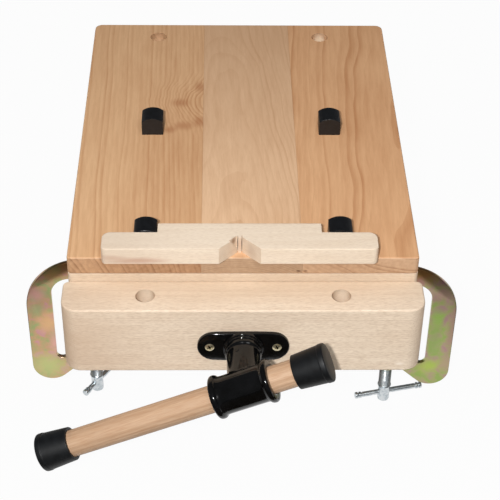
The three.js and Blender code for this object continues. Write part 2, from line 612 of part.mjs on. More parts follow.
function yoke() {
  const reach = GUIDE_X + YOKE_END;
  const outline = roundedRectangle(-reach, -YOKE_HEIGHT / 2, reach, YOKE_HEIGHT / 2, YOKE_CORNER);
  withRoundHole(outline, 0, SCREW_TAIL_DIAMETER + 2 * FIT);
  SIDES.forEach(({ sign }) => withRoundHole(outline, sign * GUIDE_X, GUIDE_SPIGOT_DIAMETER + 2 * FIT));
  const strap = drawnOut(outline, YOKE_FRONT_Y, YOKE_BACK_Y).translate(0, 0, VISE_HEIGHT);
  const nuts = SIDES.map(({ name, sign }) => {
    const nut = withRoundHole(hexagon(YOKE_NUT_ACROSS_FLATS), 0, GUIDE_SPIGOT_DIAMETER + 2 * FIT);
    const body = drawnOut(nut, YOKE_NUT_Y, YOKE_NUT_Y + YOKE_NUT_HEIGHT);
    return piece(`yoke_nut_${name}`, body.translate(sign * GUIDE_X, 0, VISE_HEIGHT), 'brightSteel');
  });
  return [piece('guide_yoke', strap, 'brightSteel'), ...nuts];
}

// The screw's own pieces, with the vise axis as Y and the handle along X
function viseScrew() {
  const grooveRadius = SCREW_DIAMETER / 2 - CLIP_GROOVE_DEPTH;
  const radius = SCREW_DIAMETER / 2;
  const tailEndY = YOKE_BACK_Y + SCREW_TAIL_SPARE;
  const blank = turnedY([[0, SPIGOT_FRONT_Y], [SCREW_SPIGOT_DIAMETER / 2, SPIGOT_FRONT_Y],
    [SCREW_SPIGOT_DIAMETER / 2, STEM_END_Y + FIT], [radius, STEM_END_Y + FIT],
    [radius, CLIP_FRONT_Y - SEAT], [grooveRadius, CLIP_FRONT_Y - SEAT],
    [grooveRadius, CLIP_BACK_Y + SEAT], [radius, CLIP_BACK_Y + SEAT],
    [radius, YOKE_FRONT_Y - FIT], [SCREW_TAIL_DIAMETER / 2, YOKE_FRONT_Y - FIT],
    [SCREW_TAIL_DIAMETER / 2, tailEndY], [0, tailEndY]]);
  return piece('vise_screw', carved(blank, [hubPinHole()]), 'brightSteel');
}

// A rod across the hub's stem and the screw's spigot
function crossRod(diameter, reach) {
  return turnedZ(rodProfile(diameter, -reach, reach), SMALL_ROUND_STEPS).translate(0, HUB_PIN_Y, 0);
}

function hubPin() {
  return piece('hub_pin', crossRod(HUB_PIN_DIAMETER, STEM_DIAMETER / 2 - HUB_PIN_SINK), 'brightSteel');
}

function hubPinHole() {
  return crossRod(HUB_PIN_DIAMETER + 2 * FIT, STEM_DIAMETER);
}

function retainingClip() {
  const mouth = THREE.MathUtils.degToRad(CLIP_MOUTH_ANGLE / 2);
  const bore = SCREW_DIAMETER / 2 - CLIP_GROOVE_DEPTH + FIT;
  const outline = new THREE.Shape();
  outline.absarc(0, 0, CLIP_DIAMETER / 2, mouth, 2 * Math.PI - mouth);
  outline.absarc(0, 0, bore, 2 * Math.PI - mouth, mouth, true);
  return piece('retaining_clip', drawnOut(outline, CLIP_FRONT_Y, CLIP_BACK_Y), 'brightSteel');
}

function hub() {
  const stemRadius = STEM_DIAMETER / 2;
  const flangeRadius = STEM_FLANGE_DIAMETER / 2;
  const flangeFrontY = STEM_END_Y - STEM_FLANGE_LENGTH;
  const slope = flangeRadius - stemRadius;
  const stem = turnedY([[0, BARREL_Y], [stemRadius, BARREL_Y], [stemRadius, flangeFrontY - slope],
    [flangeRadius, flangeFrontY], [flangeRadius, STEM_END_Y], [0, STEM_END_Y]]);
  const half = BARREL_LENGTH / 2;
  const lip = BARREL_LIP_DIAMETER / 2;
  const rise = lip - BARREL_DIAMETER / 2;
  const lipStart = half - BARREL_LIP_LENGTH;
  const rightEnd = [[BARREL_DIAMETER / 2, lipStart - rise], [lip, lipStart],
    [lip, half - BARREL_LIP_ROUND], [lip - BARREL_LIP_ROUND, half], [0, half]];
  const leftEnd = rightEnd.map(([radius, along]) => [radius, -along]).reverse();
  const barrel = turnedX([...leftEnd, ...rightEnd]).translate(0, BARREL_Y, 0);
  const socketFrontY = SPIGOT_FRONT_Y - FIT;
  return piece('vise_hub', carved(joined([stem, barrel]), [
    turnedX(rodProfile(HANDLE_DIAMETER + 2 * FIT, -BARREL_LENGTH, BARREL_LENGTH)).translate(0, BARREL_Y, 0),
    turnedY(rodProfile(SCREW_SPIGOT_DIAMETER + 2 * FIT, socketFrontY, STEM_END_Y + FIT)),
    hubPinHole(),
  ]), 'blackEnamel');
}

function handle() {
  const half = HANDLE_LENGTH / 2;
  const bar = turnedX(rodProfile(HANDLE_DIAMETER, -half, half));
  const mouthX = half - CAP_SOCKET_DEPTH;
  const endX = mouthX + CAP_LENGTH;
  const bore = HANDLE_DIAMETER / 2 + FIT;
  const endRadius = CAP_END_DIAMETER / 2;
  const capProfile = [[bore, half + FIT], [bore, mouthX], [CAP_MOUTH_DIAMETER / 2, mouthX],
    [endRadius, endX - CAP_END_ROUND], [endRadius - CAP_END_ROUND, endX], [0, endX],
    [0, half + FIT], [bore, half + FIT]];
  const caps = SIDES.map(({ name, turn }) => {
    const cap = piece(`handle_cap_${name}`, turnedX(capProfile), 'blackRubber');
    cap.rotation.z = turn;
    return cap;
  });
  const group = groupOf([piece('handle_bar', bar, 'oiledBeech'), ...caps]);
  group.position.set(HANDLE_SHIFT, BARREL_Y, 0);
  return group;
}

// Everything that turns with the vise screw
function turningGroup() {
  const group = groupOf([viseScrew(), hubPin(), retainingClip(), hub(), handle()]);
  group.position.z = VISE_HEIGHT;
  group.rotation.y = -THREE.MathUtils.degToRad(HANDLE_TILT);
  return group;
}

function benchDog(name, x, y) {
  const half = DOG_HEAD_WIDTH / 2;
  const shoulder = DOG_HEAD_HEIGHT - DOG_HEAD_ARCH;
  const archRadius = (half ** 2 + DOG_HEAD_ARCH ** 2) / (2 * DOG_HEAD_ARCH);
  const archCentre = DOG_HEAD_HEIGHT - archRadius;
  const archStart = Math.atan2(shoulder - archCentre, half);
  const outline = polygon([[-half, 0], [half, 0]]);
  outline.absarc(0, archCentre, archRadius, archStart, Math.PI - archStart);
  const shankRadius = DOG_HOLE_DIAMETER / 2 - FIT;
  const shank = turnedZ([[0, -DOG_SHANK_LENGTH], [shankRadius - DOG_SHANK_CHAMFER, -DOG_SHANK_LENGTH],
    [shankRadius, DOG_SHANK_CHAMFER - DOG_SHANK_LENGTH], [shankRadius, shoulder / 2], [0, shoulder / 2]]);
  const head = drawnOut(outline, -DOG_HEAD_DEPTH / 2, DOG_HEAD_DEPTH / 2);
  const dog = piece(name, joined([head, shank]), 'blackPlastic');
  dog.position.set(x, y, TOP_Z + SEAT);
  return dog;
}

function benchDogs() {
  return ['front', 'middle'].flatMap((row, index) => SIDES.map(({ name, sign }) =>
    benchDog(`bench_dog_${row}_${name}`, sign * DOG_X, DOG_ROWS[index])));
}

function boardOutline() {
  const half = BOARD_LENGTH / 2;
  const tongue = TONGUE_WIDTH / 2;
  const outline = new THREE.Shape();
  outline.absarc(half - BOARD_FRONT_CORNER, BOARD_FRONT_Y + BOARD_FRONT_CORNER, BOARD_FRONT_CORNER,
    -Math.PI / 2, 0);
  outline.absarc(half - BOARD_BACK_CORNER, BOARD_SHOULDER_Y - BOARD_BACK_CORNER, BOARD_BACK_CORNER,
    0, Math.PI / 2);
  outline.lineTo(tongue, BOARD_SHOULDER_Y);
  outline.absarc(tongue - BOARD_TONGUE_CORNER, BOARD_BACK_Y - BOARD_TONGUE_CORNER, BOARD_TONGUE_CORNER,
    0, Math.PI / 2);
  outline.absarc(BOARD_TONGUE_CORNER - tongue, BOARD_BACK_Y - BOARD_TONGUE_CORNER, BOARD_TONGUE_CORNER,
    Math.PI / 2, Math.PI);
  outline.lineTo(-tongue, BOARD_SHOULDER_Y);
  outline.absarc(BOARD_BACK_CORNER - half, BOARD_SHOULDER_Y - BOARD_BACK_CORNER, BOARD_BACK_CORNER,
    Math.PI / 2, Math.PI);
  outline.absarc(BOARD_FRONT_CORNER - half, BOARD_FRONT_Y + BOARD_FRONT_CORNER, BOARD_FRONT_CORNER,
    Math.PI, 1.5 * Math.PI);
  return outline;
}

// The T-shaped board with a notch at 45 degrees to its front. The notch has a flat root with a saw kerf in each
// corner, and a three-cornered chip is out of its left wall beside the root.
function sawingBoard() {
  const top = BOARD_Z + BOARD_THICKNESS;
  const half = NOTCH_WIDTH / 2;
  const root = NOTCH_ROOT / 2;
  const rootY = BOARD_FRONT_Y + half - root;
  const overrun = BOARD_EDGE;
  const notchFrontY = BOARD_FRONT_Y - overrun;
  const notch = polygon([[-half - overrun, notchFrontY], [half + overrun, notchFrontY], [root, rootY],
    [-root, rootY]]);
  const chip = polygon([[overrun, overrun], [-CHIP_LENGTH, overrun], [-CHIP_LENGTH, 0], [0, -CHIP_HEIGHT],
    [overrun, -CHIP_HEIGHT]]);
  const kerf = (x) => box(x, BOARD_FRONT_Y, BOARD_Z - overrun, x + KERF_WIDTH, rootY + KERF_OVERCUT, top + overrun);
  const board = carved(raised(boardOutline(), BOARD_Z, top, BOARD_EDGE), [
    raised(notch, BOARD_Z - overrun, top + overrun),
    drawnOut(chip, -overrun, CHIP_DEPTH).rotateZ(Math.PI / 4).translate(-root, rootY, top),
    kerf(-root),
    kerf(root - KERF_WIDTH),
  ]);
  return piece('sawing_board', board.translate(BOARD_X, 0, 0), 'rawBeech');
}

// Outline of a clamp's hook in XZ, with +X away from the bench, and the heights of its boss. The lower arm
// narrows from the heel to the boss
function clampHook() {
  const outerX = HALF_WIDTH + CLAMP_STANDOFF;
  const innerX = outerX - CLAMP_BACK_WIDTH;
  const rise = THREE.MathUtils.degToRad(CLAMP_LOWER_RISE);
  const toe = { x: innerX - CLAMP_TOE_RADIUS, z: CLAMP_ARM_BOTTOM_Z - CLAMP_THROAT + CLAMP_TOE_RADIUS };
  const heelX = outerX - CLAMP_HEEL_RADIUS;
  const heelDrop = CLAMP_TOE_RADIUS + CLAMP_LOWER_WIDTH - CLAMP_HEEL_RADIUS;
  const heel = { x: heelX, z: toe.z - heelDrop / Math.cos(rise) - (heelX - toe.x) * Math.tan(rise) };
  const endX = RAIL_X + CLAMP_BOSS_DIAMETER / 2 + SEAT;
  const upperAt = (x) => toe.z - CLAMP_TOE_RADIUS / Math.cos(rise) + (toe.x - x) * Math.tan(rise);
  const bossHigh = upperAt(endX);
  const bossLow = bossHigh - CLAMP_BOSS_HEIGHT;
  const fromHeel = Math.hypot(endX - heel.x, bossLow - heel.z);
  const heelTangent = Math.atan2(bossLow - heel.z, endX - heel.x) + Math.acos(CLAMP_HEEL_RADIUS / fromHeel);
  const outline = new THREE.Shape();
  outline.moveTo(endX, bossHigh);
  outline.lineTo(endX, bossLow);
  outline.absarc(heel.x, heel.z, CLAMP_HEEL_RADIUS, heelTangent - 2 * Math.PI, 0);
  outline.absarc(outerX - CLAMP_OUTER_RADIUS, CLAMP_ARM_TOP_Z - CLAMP_OUTER_RADIUS, CLAMP_OUTER_RADIUS,
    0, Math.PI / 2);
  outline.lineTo(RAIL_INNER_X, CLAMP_ARM_TOP_Z);
  outline.lineTo(RAIL_INNER_X, CLAMP_ARM_BOTTOM_Z);
  outline.absarc(innerX - CLAMP_INNER_RADIUS, CLAMP_ARM_BOTTOM_Z - CLAMP_INNER_RADIUS, CLAMP_INNER_RADIUS,
    Math.PI / 2, 0, true);
  outline.absarc(toe.x, toe.z, CLAMP_TOE_RADIUS, 0, -Math.PI / 2 - rise, true);
  return { outline, bossLow, bossHigh };
}

function clampScrew(endZ) {
  const radius = CLAMP_SCREW_DIAMETER / 2;
  const headTop = endZ + CLAMP_SCREW_HEAD_LENGTH;
  const shoulder = endZ + CLAMP_SCREW_LENGTH;
  const tip = shoulder + CLAMP_TIP_LENGTH;
  const headRadius = CLAMP_SCREW_HEAD / 2;
  const tipRadius = CLAMP_TIP_DIAMETER / 2;
  const blank = turnedZ([[0, endZ], [headRadius - CLAMP_SCREW_CHAMFER, endZ],
    [headRadius, endZ + CLAMP_SCREW_CHAMFER], [headRadius, headTop], [radius, headTop], [radius, shoulder],
    [tipRadius, shoulder], [tipRadius, tip], [0, tip]]);
  const tommyHole = rodProfile(TOMMY_DIAMETER + 2 * FIT, -CLAMP_SCREW_HEAD, CLAMP_SCREW_HEAD);
  return carved(blank, [turnedX(tommyHole, SMALL_ROUND_STEPS).translate(0, 0, endZ + TOMMY_HEIGHT)]);
}

function clampPad(bottomZ) {
  const socket = CLAMP_TIP_DIAMETER / 2 + FIT;
  const socketTop = bottomZ + CLAMP_TIP_LENGTH;
  const topZ = bottomZ + CLAMP_PAD_HEIGHT;
  const radius = CLAMP_PAD_DIAMETER / 2;
  return turnedZ([[socket, socketTop], [socket, bottomZ], [radius - CLAMP_PAD_CHAMFER, bottomZ],
    [radius, bottomZ + CLAMP_PAD_CHAMFER], [radius, topZ], [0, topZ], [0, socketTop], [socket, socketTop]]);
}

function tommyBar() {
  const half = TOMMY_LENGTH / 2;
  const neck = half - TOMMY_KNOB_LENGTH;
  const knob = TOMMY_KNOB_DIAMETER / 2;
  const rightEnd = [[TOMMY_DIAMETER / 2, neck], [knob, neck], [knob, half - TOMMY_KNOB_CHAMFER],
    [knob - TOMMY_KNOB_CHAMFER, half], [0, half]];
  const leftEnd = rightEnd.map(([radius, along]) => [radius, -along]).reverse();
  return turnedX([...leftEnd, ...rightEnd], SMALL_ROUND_STEPS);
}

// One G-clamp, made with +X away from the bench and turned round for the left side
function clamp({ name, turn, clampShift, clampOpening, tommyYaw, tommyShift }) {
  const { outline, bossLow, bossHigh } = clampHook();
  const bossBore = CLAMP_SCREW_DIAMETER / 2 + FIT;
  const bossRadius = CLAMP_BOSS_DIAMETER / 2;
  const boss = turnedZ([[bossBore, bossLow], [bossRadius, bossLow], [bossRadius, bossHigh],
    [bossBore, bossHigh], [bossBore, bossLow]]);
  const padBottom = -clampOpening - CLAMP_PAD_HEIGHT;
  const endZ = padBottom - FIT - CLAMP_SCREW_LENGTH;
  const screwPieces = groupOf([
    piece(`clamp_screw_${name}`, clampScrew(endZ), 'brightSteel'),
    piece(`clamp_tommy_${name}`, tommyBar().translate(tommyShift, 0, endZ + TOMMY_HEIGHT), 'brightSteel'),
  ]);
  screwPieces.position.x = RAIL_X;
  screwPieces.rotation.z = THREE.MathUtils.degToRad(tommyYaw);
  const group = groupOf([
    piece(`clamp_hook_${name}`, drawnOut(outline, -CLAMP_THICKNESS / 2, CLAMP_THICKNESS / 2), 'yellowZinc'),
    piece(`clamp_boss_${name}`, boss.translate(RAIL_X, 0, 0), 'yellowZinc'),
    piece(`clamp_pad_${name}`, clampPad(padBottom).translate(RAIL_X, 0, 0), 'yellowZinc'),
    screwPieces,
  ]);
  group.position.y = CLAMP_SLOT_Y + clampShift;
  group.rotation.z = turn;
  return group;
}

const bench = groupOf([
  ...worktop(),
  fixedJaw(),
  ...SIDES.map(sideRail),
  rearRail(),
  ...frameScrews(),
  ...viseNut(),
  ...SIDES.map(guideBush),
  movingJaw(),
  ...collarPlate(),
  ...SIDES.flatMap(guideBar),
  ...yoke(),
  turningGroup(),
  ...benchDogs(),
  sawingBoard(),
  ...SIDES.map(clamp),
]);

export default bench;
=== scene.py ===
# %% [markdown]
# # A clamp-on woodworking bench
# The object is a low beech bench top that two G-clamps hold to a table, with a screw vise along its front edge.
# Its solids come ready made, in metres, each in its real place, and they stay where they are. This lesson gives
# them their surfaces: wood figure, enamel, rubber, plating and screw thread. Loading the solids as a fixed frame
# means that nothing has to be fitted by eye: every size below is read from them or is a named value.

# %% Load the solids
import json
import math

import bmesh
import bpy
import numpy as np
from mathutils import Euler, Matrix, Vector

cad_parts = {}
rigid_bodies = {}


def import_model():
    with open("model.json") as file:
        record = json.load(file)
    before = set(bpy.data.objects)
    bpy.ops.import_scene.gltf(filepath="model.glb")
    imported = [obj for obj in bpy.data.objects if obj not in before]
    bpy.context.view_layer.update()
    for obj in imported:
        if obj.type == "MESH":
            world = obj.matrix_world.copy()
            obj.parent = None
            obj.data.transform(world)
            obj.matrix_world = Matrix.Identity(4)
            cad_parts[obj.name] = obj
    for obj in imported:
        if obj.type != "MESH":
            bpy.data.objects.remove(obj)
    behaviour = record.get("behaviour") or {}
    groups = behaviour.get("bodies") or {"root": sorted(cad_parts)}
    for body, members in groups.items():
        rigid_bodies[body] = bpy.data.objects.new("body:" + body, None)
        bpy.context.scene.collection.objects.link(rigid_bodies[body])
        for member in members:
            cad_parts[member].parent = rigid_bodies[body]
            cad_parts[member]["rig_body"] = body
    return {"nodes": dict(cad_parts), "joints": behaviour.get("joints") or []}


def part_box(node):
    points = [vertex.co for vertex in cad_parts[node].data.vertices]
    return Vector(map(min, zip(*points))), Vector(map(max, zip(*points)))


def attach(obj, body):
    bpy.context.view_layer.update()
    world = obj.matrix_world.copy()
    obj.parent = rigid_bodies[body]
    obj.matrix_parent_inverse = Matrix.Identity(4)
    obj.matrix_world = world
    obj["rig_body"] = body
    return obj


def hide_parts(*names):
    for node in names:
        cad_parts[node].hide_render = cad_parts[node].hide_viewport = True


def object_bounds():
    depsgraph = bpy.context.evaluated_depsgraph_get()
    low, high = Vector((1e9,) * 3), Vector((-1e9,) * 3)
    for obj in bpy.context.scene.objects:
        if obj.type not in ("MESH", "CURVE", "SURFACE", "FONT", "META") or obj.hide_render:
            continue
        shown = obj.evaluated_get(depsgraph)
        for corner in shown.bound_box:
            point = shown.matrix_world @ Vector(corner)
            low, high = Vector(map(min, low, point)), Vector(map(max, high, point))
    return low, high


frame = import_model()
cad_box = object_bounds()
joints = {joint["name"]: joint for joint in frame["joints"]}
print("solids:", len(frame["nodes"]), "box:", [[round(value, 4) for value in corner] for corner in cad_box])

# %% [markdown]
# ## Camera
# The bench is seen from above its front edge, through a long lens, so its sides converge only a little. A camera
# can be aimed at an empty, but three angles say more plainly how it stands: it looks down, a touch to the right,
# and leans a degree.

# %% Camera
MM = 0.001
PICTURE_PIXELS = 500
FOCAL_PIXELS = 1462
CAMERA_PLACE = Vector((-24.0, -1165.6, 1051.05)) * MM
CAMERA_PITCH = math.radians(39.43)
CAMERA_YAW = math.radians(1.53)
CAMERA_ROLL = math.radians(0.98)

camera = bpy.data.objects.new("camera", bpy.data.cameras.new("camera"))
bpy.context.scene.collection.objects.link(camera)
bpy.context.scene.camera = camera
camera.data.lens = FOCAL_PIXELS / PICTURE_PIXELS * camera.data.sensor_width
aim = Matrix.Rotation(-CAMERA_YAW, 4, "Z") @ Matrix.Rotation(math.pi / 2 - CAMERA_PITCH, 4, "X")
camera.matrix_world = Matrix.Translation(CAMERA_PLACE) @ aim @ Matrix.Rotation(CAMERA_ROLL, 4, "Z")
print("lens:", round(camera.data.lens, 1), "mm")

# %% [markdown]
# ## Helpers for materials
# A colour is written as it looks on a screen, so one function turns sRGB hex into the linear numbers that shaders
# add and multiply. One more function adds a shader node: its keyword settings are the node's own properties, and
# its inputs are plain values or the sockets that feed them.

# %% Colours and shader nodes


def linear(code):
    """Linear RGBA of an sRGB hex colour: c / 12.92 in the dark toe, ((c + 0.055) / 1.055) ** 2.4 above it."""
    channels = np.array([int(code[start:start + 2], 16) for start in (1, 3, 5)]) / 255
    toe = channels / 12.92
    curve = ((channels + 0.055) / 1.055) ** 2.4
    return (*np.where(channels <= 0.04045, toe, curve), 1.0)


def add(tree, kind, inputs=None, **settings):
    """Adds one node with its settings, and feeds its inputs with values or with other nodes' sockets."""
    node = tree.nodes.new("ShaderNode" + kind)
    for name, value in settings.items():
        setattr(node, name, value)
    for name, value in (inputs or {}).items():
        if isinstance(value, bpy.types.NodeSocket):
            tree.links.new(value, node.inputs[name])
        else:
            node.inputs[name].default_value = value
    return node


def empty_material(name):
    """A material whose node tree is still empty."""
    made = bpy.data.materials.new(name)
    made.use_nodes = True
    made.node_tree.nodes.clear()
    return made


print("white is", linear("#ffffff"))

# %% [markdown]
# ## Stage
# The bench hangs over white paper, which lies low enough for the clamp screws at the end of their travel. The paper
# is lit like anything else, so it keeps a shadow, and rays from the camera and from mirrors also see some light of
# its own, which makes it white without more light on the bench. Far away it meets a round backdrop, so that a low
# camera sees no dark sky. A dark card lies on the paper in front of the bench, as a photographer lays one down so
# that bright metal has something dark to mirror. Only mirrors see it.

# %% Paper, backdrop and card
PAPER_GAP = 0.5 * MM
PAPER_HALF = 12.0
PAPER_GLOW = 0.965
BACKDROP_HEIGHT = 2.4
BACKDROP_STEPS = 96
CARD_LIFT = 0.2 * MM
CARD_EDGE = -0.232
CARD_SIDE = 0.35
CARD_FAR = 0.6

pad_drop = min(joints[f"{side}_pad_slide"]["range_m"][0] for side in ("left", "right"))
paper_z = cad_box[0].z + pad_drop - PAPER_GAP


def staged(name, points, faces, finish):
    """Links a mesh that belongs to the stage and not to the bench."""
    mesh = bpy.data.meshes.new(name)
    mesh.from_pydata(points, [], faces)
    mesh.materials.append(finish)
    made = bpy.data.objects.new(name, mesh)
    bpy.context.scene.collection.objects.link(made)
    return made


def level(low_x, high_x, low_y, high_y, z):
    """The corners of a level rectangle."""
    return [(low_x, low_y, z), (high_x, low_y, z), (high_x, high_y, z), (low_x, high_y, z)]


white_paper = empty_material("white paper")
tree = white_paper.node_tree
rays = add(tree, "LightPath")
seen = add(tree, "Math", {0: rays.outputs["Is Camera Ray"], 1: rays.outputs["Is Glossy Ray"]}, operation="MAXIMUM")
glow_share = add(tree, "Math", {0: seen.outputs[0], 1: PAPER_GLOW}, operation="MULTIPLY")
matt = add(tree, "BsdfDiffuse", {"Color": linear("#aaaaa8")})
glow = add(tree, "Emission", {"Color": linear("#ffffff"), "Strength": 1.0})
both = add(tree, "MixShader", {0: glow_share.outputs[0], 1: matt.outputs[0], 2: glow.outputs[0]})
add(tree, "OutputMaterial", {"Surface": both.outputs[0]})
staged("paper", level(-PAPER_HALF, PAPER_HALF, -PAPER_HALF, PAPER_HALF, paper_z), [(0, 1, 2, 3)], white_paper)

turns = np.linspace(0, 2 * np.pi, BACKDROP_STEPS, endpoint=False)
rim = np.stack([PAPER_HALF * np.cos(turns), PAPER_HALF * np.sin(turns), np.full_like(turns, paper_z)], -1)
start = np.arange(BACKDROP_STEPS)
after = (start + 1) % BACKDROP_STEPS
wall = np.stack([start, after, after + BACKDROP_STEPS, start + BACKDROP_STEPS], -1)
backdrop = staged("backdrop", np.concatenate([rim, rim + (0, 0, BACKDROP_HEIGHT)]).tolist(), wall.tolist(),
                  white_paper)
backdrop.visible_glossy = False

dark_card = empty_material("dark brown card")
tree = dark_card.node_tree
matt = add(tree, "BsdfDiffuse", {"Color": linear("#30271c")})
add(tree, "OutputMaterial", {"Surface": matt.outputs[0]})
card_z = paper_z + CARD_LIFT
for name, corners in {"front card": level(-PAPER_HALF, PAPER_HALF, -PAPER_HALF, CARD_EDGE, card_z),
                      "left card": level(-CARD_FAR, -CARD_SIDE, CARD_EDGE, CARD_FAR, card_z),
                      "right card": level(CARD_SIDE, CARD_FAR, CARD_EDGE, CARD_FAR, card_z)}.items():
    card = staged(name, corners, [(0, 1, 2, 3)], dark_card)
    card.visible_camera = card.visible_diffuse = card.visible_shadow = False
print("paper at", round(paper_z, 4))

# %% [markdown]
# ## Light
# One lamp could light the bench, but its shadows would be black. Here the main lamp stands a little to the left of
# the camera and as high, so shadows are short and fall to the right. A wide lamp overhead and a weak one at the
# right soften them, and three low ones reach the back and the sides. Mirrors don't show the lamps that only fill.

# %% Lamps and sky
LAMPS = {
    "main lamp": {"place": (-0.19, -1.43, 1.31), "size": 0.1, "watts": 34, "mirrored": True},
    "right lamp": {"place": (0.75, -1.3, 1.4), "size": 0.5, "watts": 2, "mirrored": True},
    "overhead": {"place": (-0.1, -0.5, 1.6), "size": 1.3, "watts": 10.4, "mirrored": False},
    "rear fill": {"place": (0, 1.7, 0.0), "size": 0.3, "watts": 4, "mirrored": False},
    "left fill": {"place": (-1.4, 0.6, 0.0), "size": 0.3, "watts": 4, "mirrored": False},
    "right fill": {"place": (1.4, 0.6, 0.0), "size": 0.3, "watts": 4, "mirrored": False},
}
LAMP_TARGET = Vector((0, 0.1, 0.06))
SKY_STRENGTH = 0.1

for name, lamp in LAMPS.items():
    light = bpy.data.lights.new(name, "AREA")
    light.shape = "DISK"
    light.size = lamp["size"]
    light.energy = lamp["watts"]
    holder = bpy.data.objects.new(name, light)
    holder.location = lamp["place"]
    holder.visible_glossy = lamp["mirrored"]
    holder.rotation_euler = (LAMP_TARGET - holder.location).to_track_quat("-Z", "Y").to_euler()
    bpy.context.scene.collection.objects.link(holder)

sky = bpy.data.worlds.new("sky")
sky.use_nodes = True
sky.node_tree.nodes["Background"].inputs["Color"].default_value = linear("#f2f6fc")
sky.node_tree.nodes["Background"].inputs["Strength"].default_value = SKY_STRENGTH
bpy.context.scene.world = sky
bpy.context.scene.view_settings.view_transform = "Standard"
print("lamps:", len(LAMPS))

# %% [markdown]
# ## Beech
# A tree grows a shell of wood each year, so a board's figure is a cut through nested tubes. That can be painted
# as stripes on a face, but then the end grain doesn't meet the sides. Here the wood is a solid: the distance from
# the pith, the tree's middle line, is divided into years, and slow noise stretched along the grain bends the
# tubes. A face cut along the grain then shows lines or flames, and an end shows arcs, wherever the board is cut.
# Rays, the short dashes that mark beech, are a much finer noise along the grain. They are drawn about twice as
# wide as real ones, so that they still show in a picture of the whole bench.

# %% A solid beech material
LONG_GRAIN = 14.0
SLOW_BEND = 80.0
FINE_BEND = 11.0
FINE_BEND_DEPTH = 1.1
STREAK_WIDTH = 4.0
CLOUD_WIDTH = 110.0
END_SHARE = 0.85
KNOT_LINES = 0.34
KNOT_TWIST = 26.0
END_CONTRAST = 1.1


def with_stains_and_painted_light(tree, colour, place, wobble, stains_and_painted_light):
    """Mixes patches into a colour: real stains, painted light and painted shade. A patch (place and reach in mm,
    colour, strength) fades out from its place.

    Its distance is |(point - place) / reach + (wobble - 0.5) / 2|, where wobble is a noise colour."""
    for patch_place, patch_reach, patch_colour, strength in stains_and_painted_light:
        away = add(tree, "VectorMath", {0: place, 1: [value * MM for value in patch_place]}, operation="SUBTRACT")
        away = add(tree, "VectorMath", {0: away.outputs[0], 1: [1 / (value * MM) for value in patch_reach]},
                   operation="MULTIPLY")
        away = add(tree, "VectorMath", {0: wobble, 1: (0.5, 0.5, 0.5), 2: away.outputs[0]}, operation="MULTIPLY_ADD")
        away = add(tree, "VectorMath", {0: away.outputs[0], 1: (0.25, 0.25, 0.25)}, operation="DISTANCE")
        share = add(tree, "MapRange", {"Value": away.outputs["Value"], "From Min": 0.1, "From Max": 1.0,
                                       "To Min": strength, "To Max": 0}, interpolation_type="SMOOTHSTEP").outputs[0]
        colour = add(tree, "MixRGB", {"Fac": share, "Color1": colour, "Color2": linear(patch_colour)}).outputs[0]
    return colour


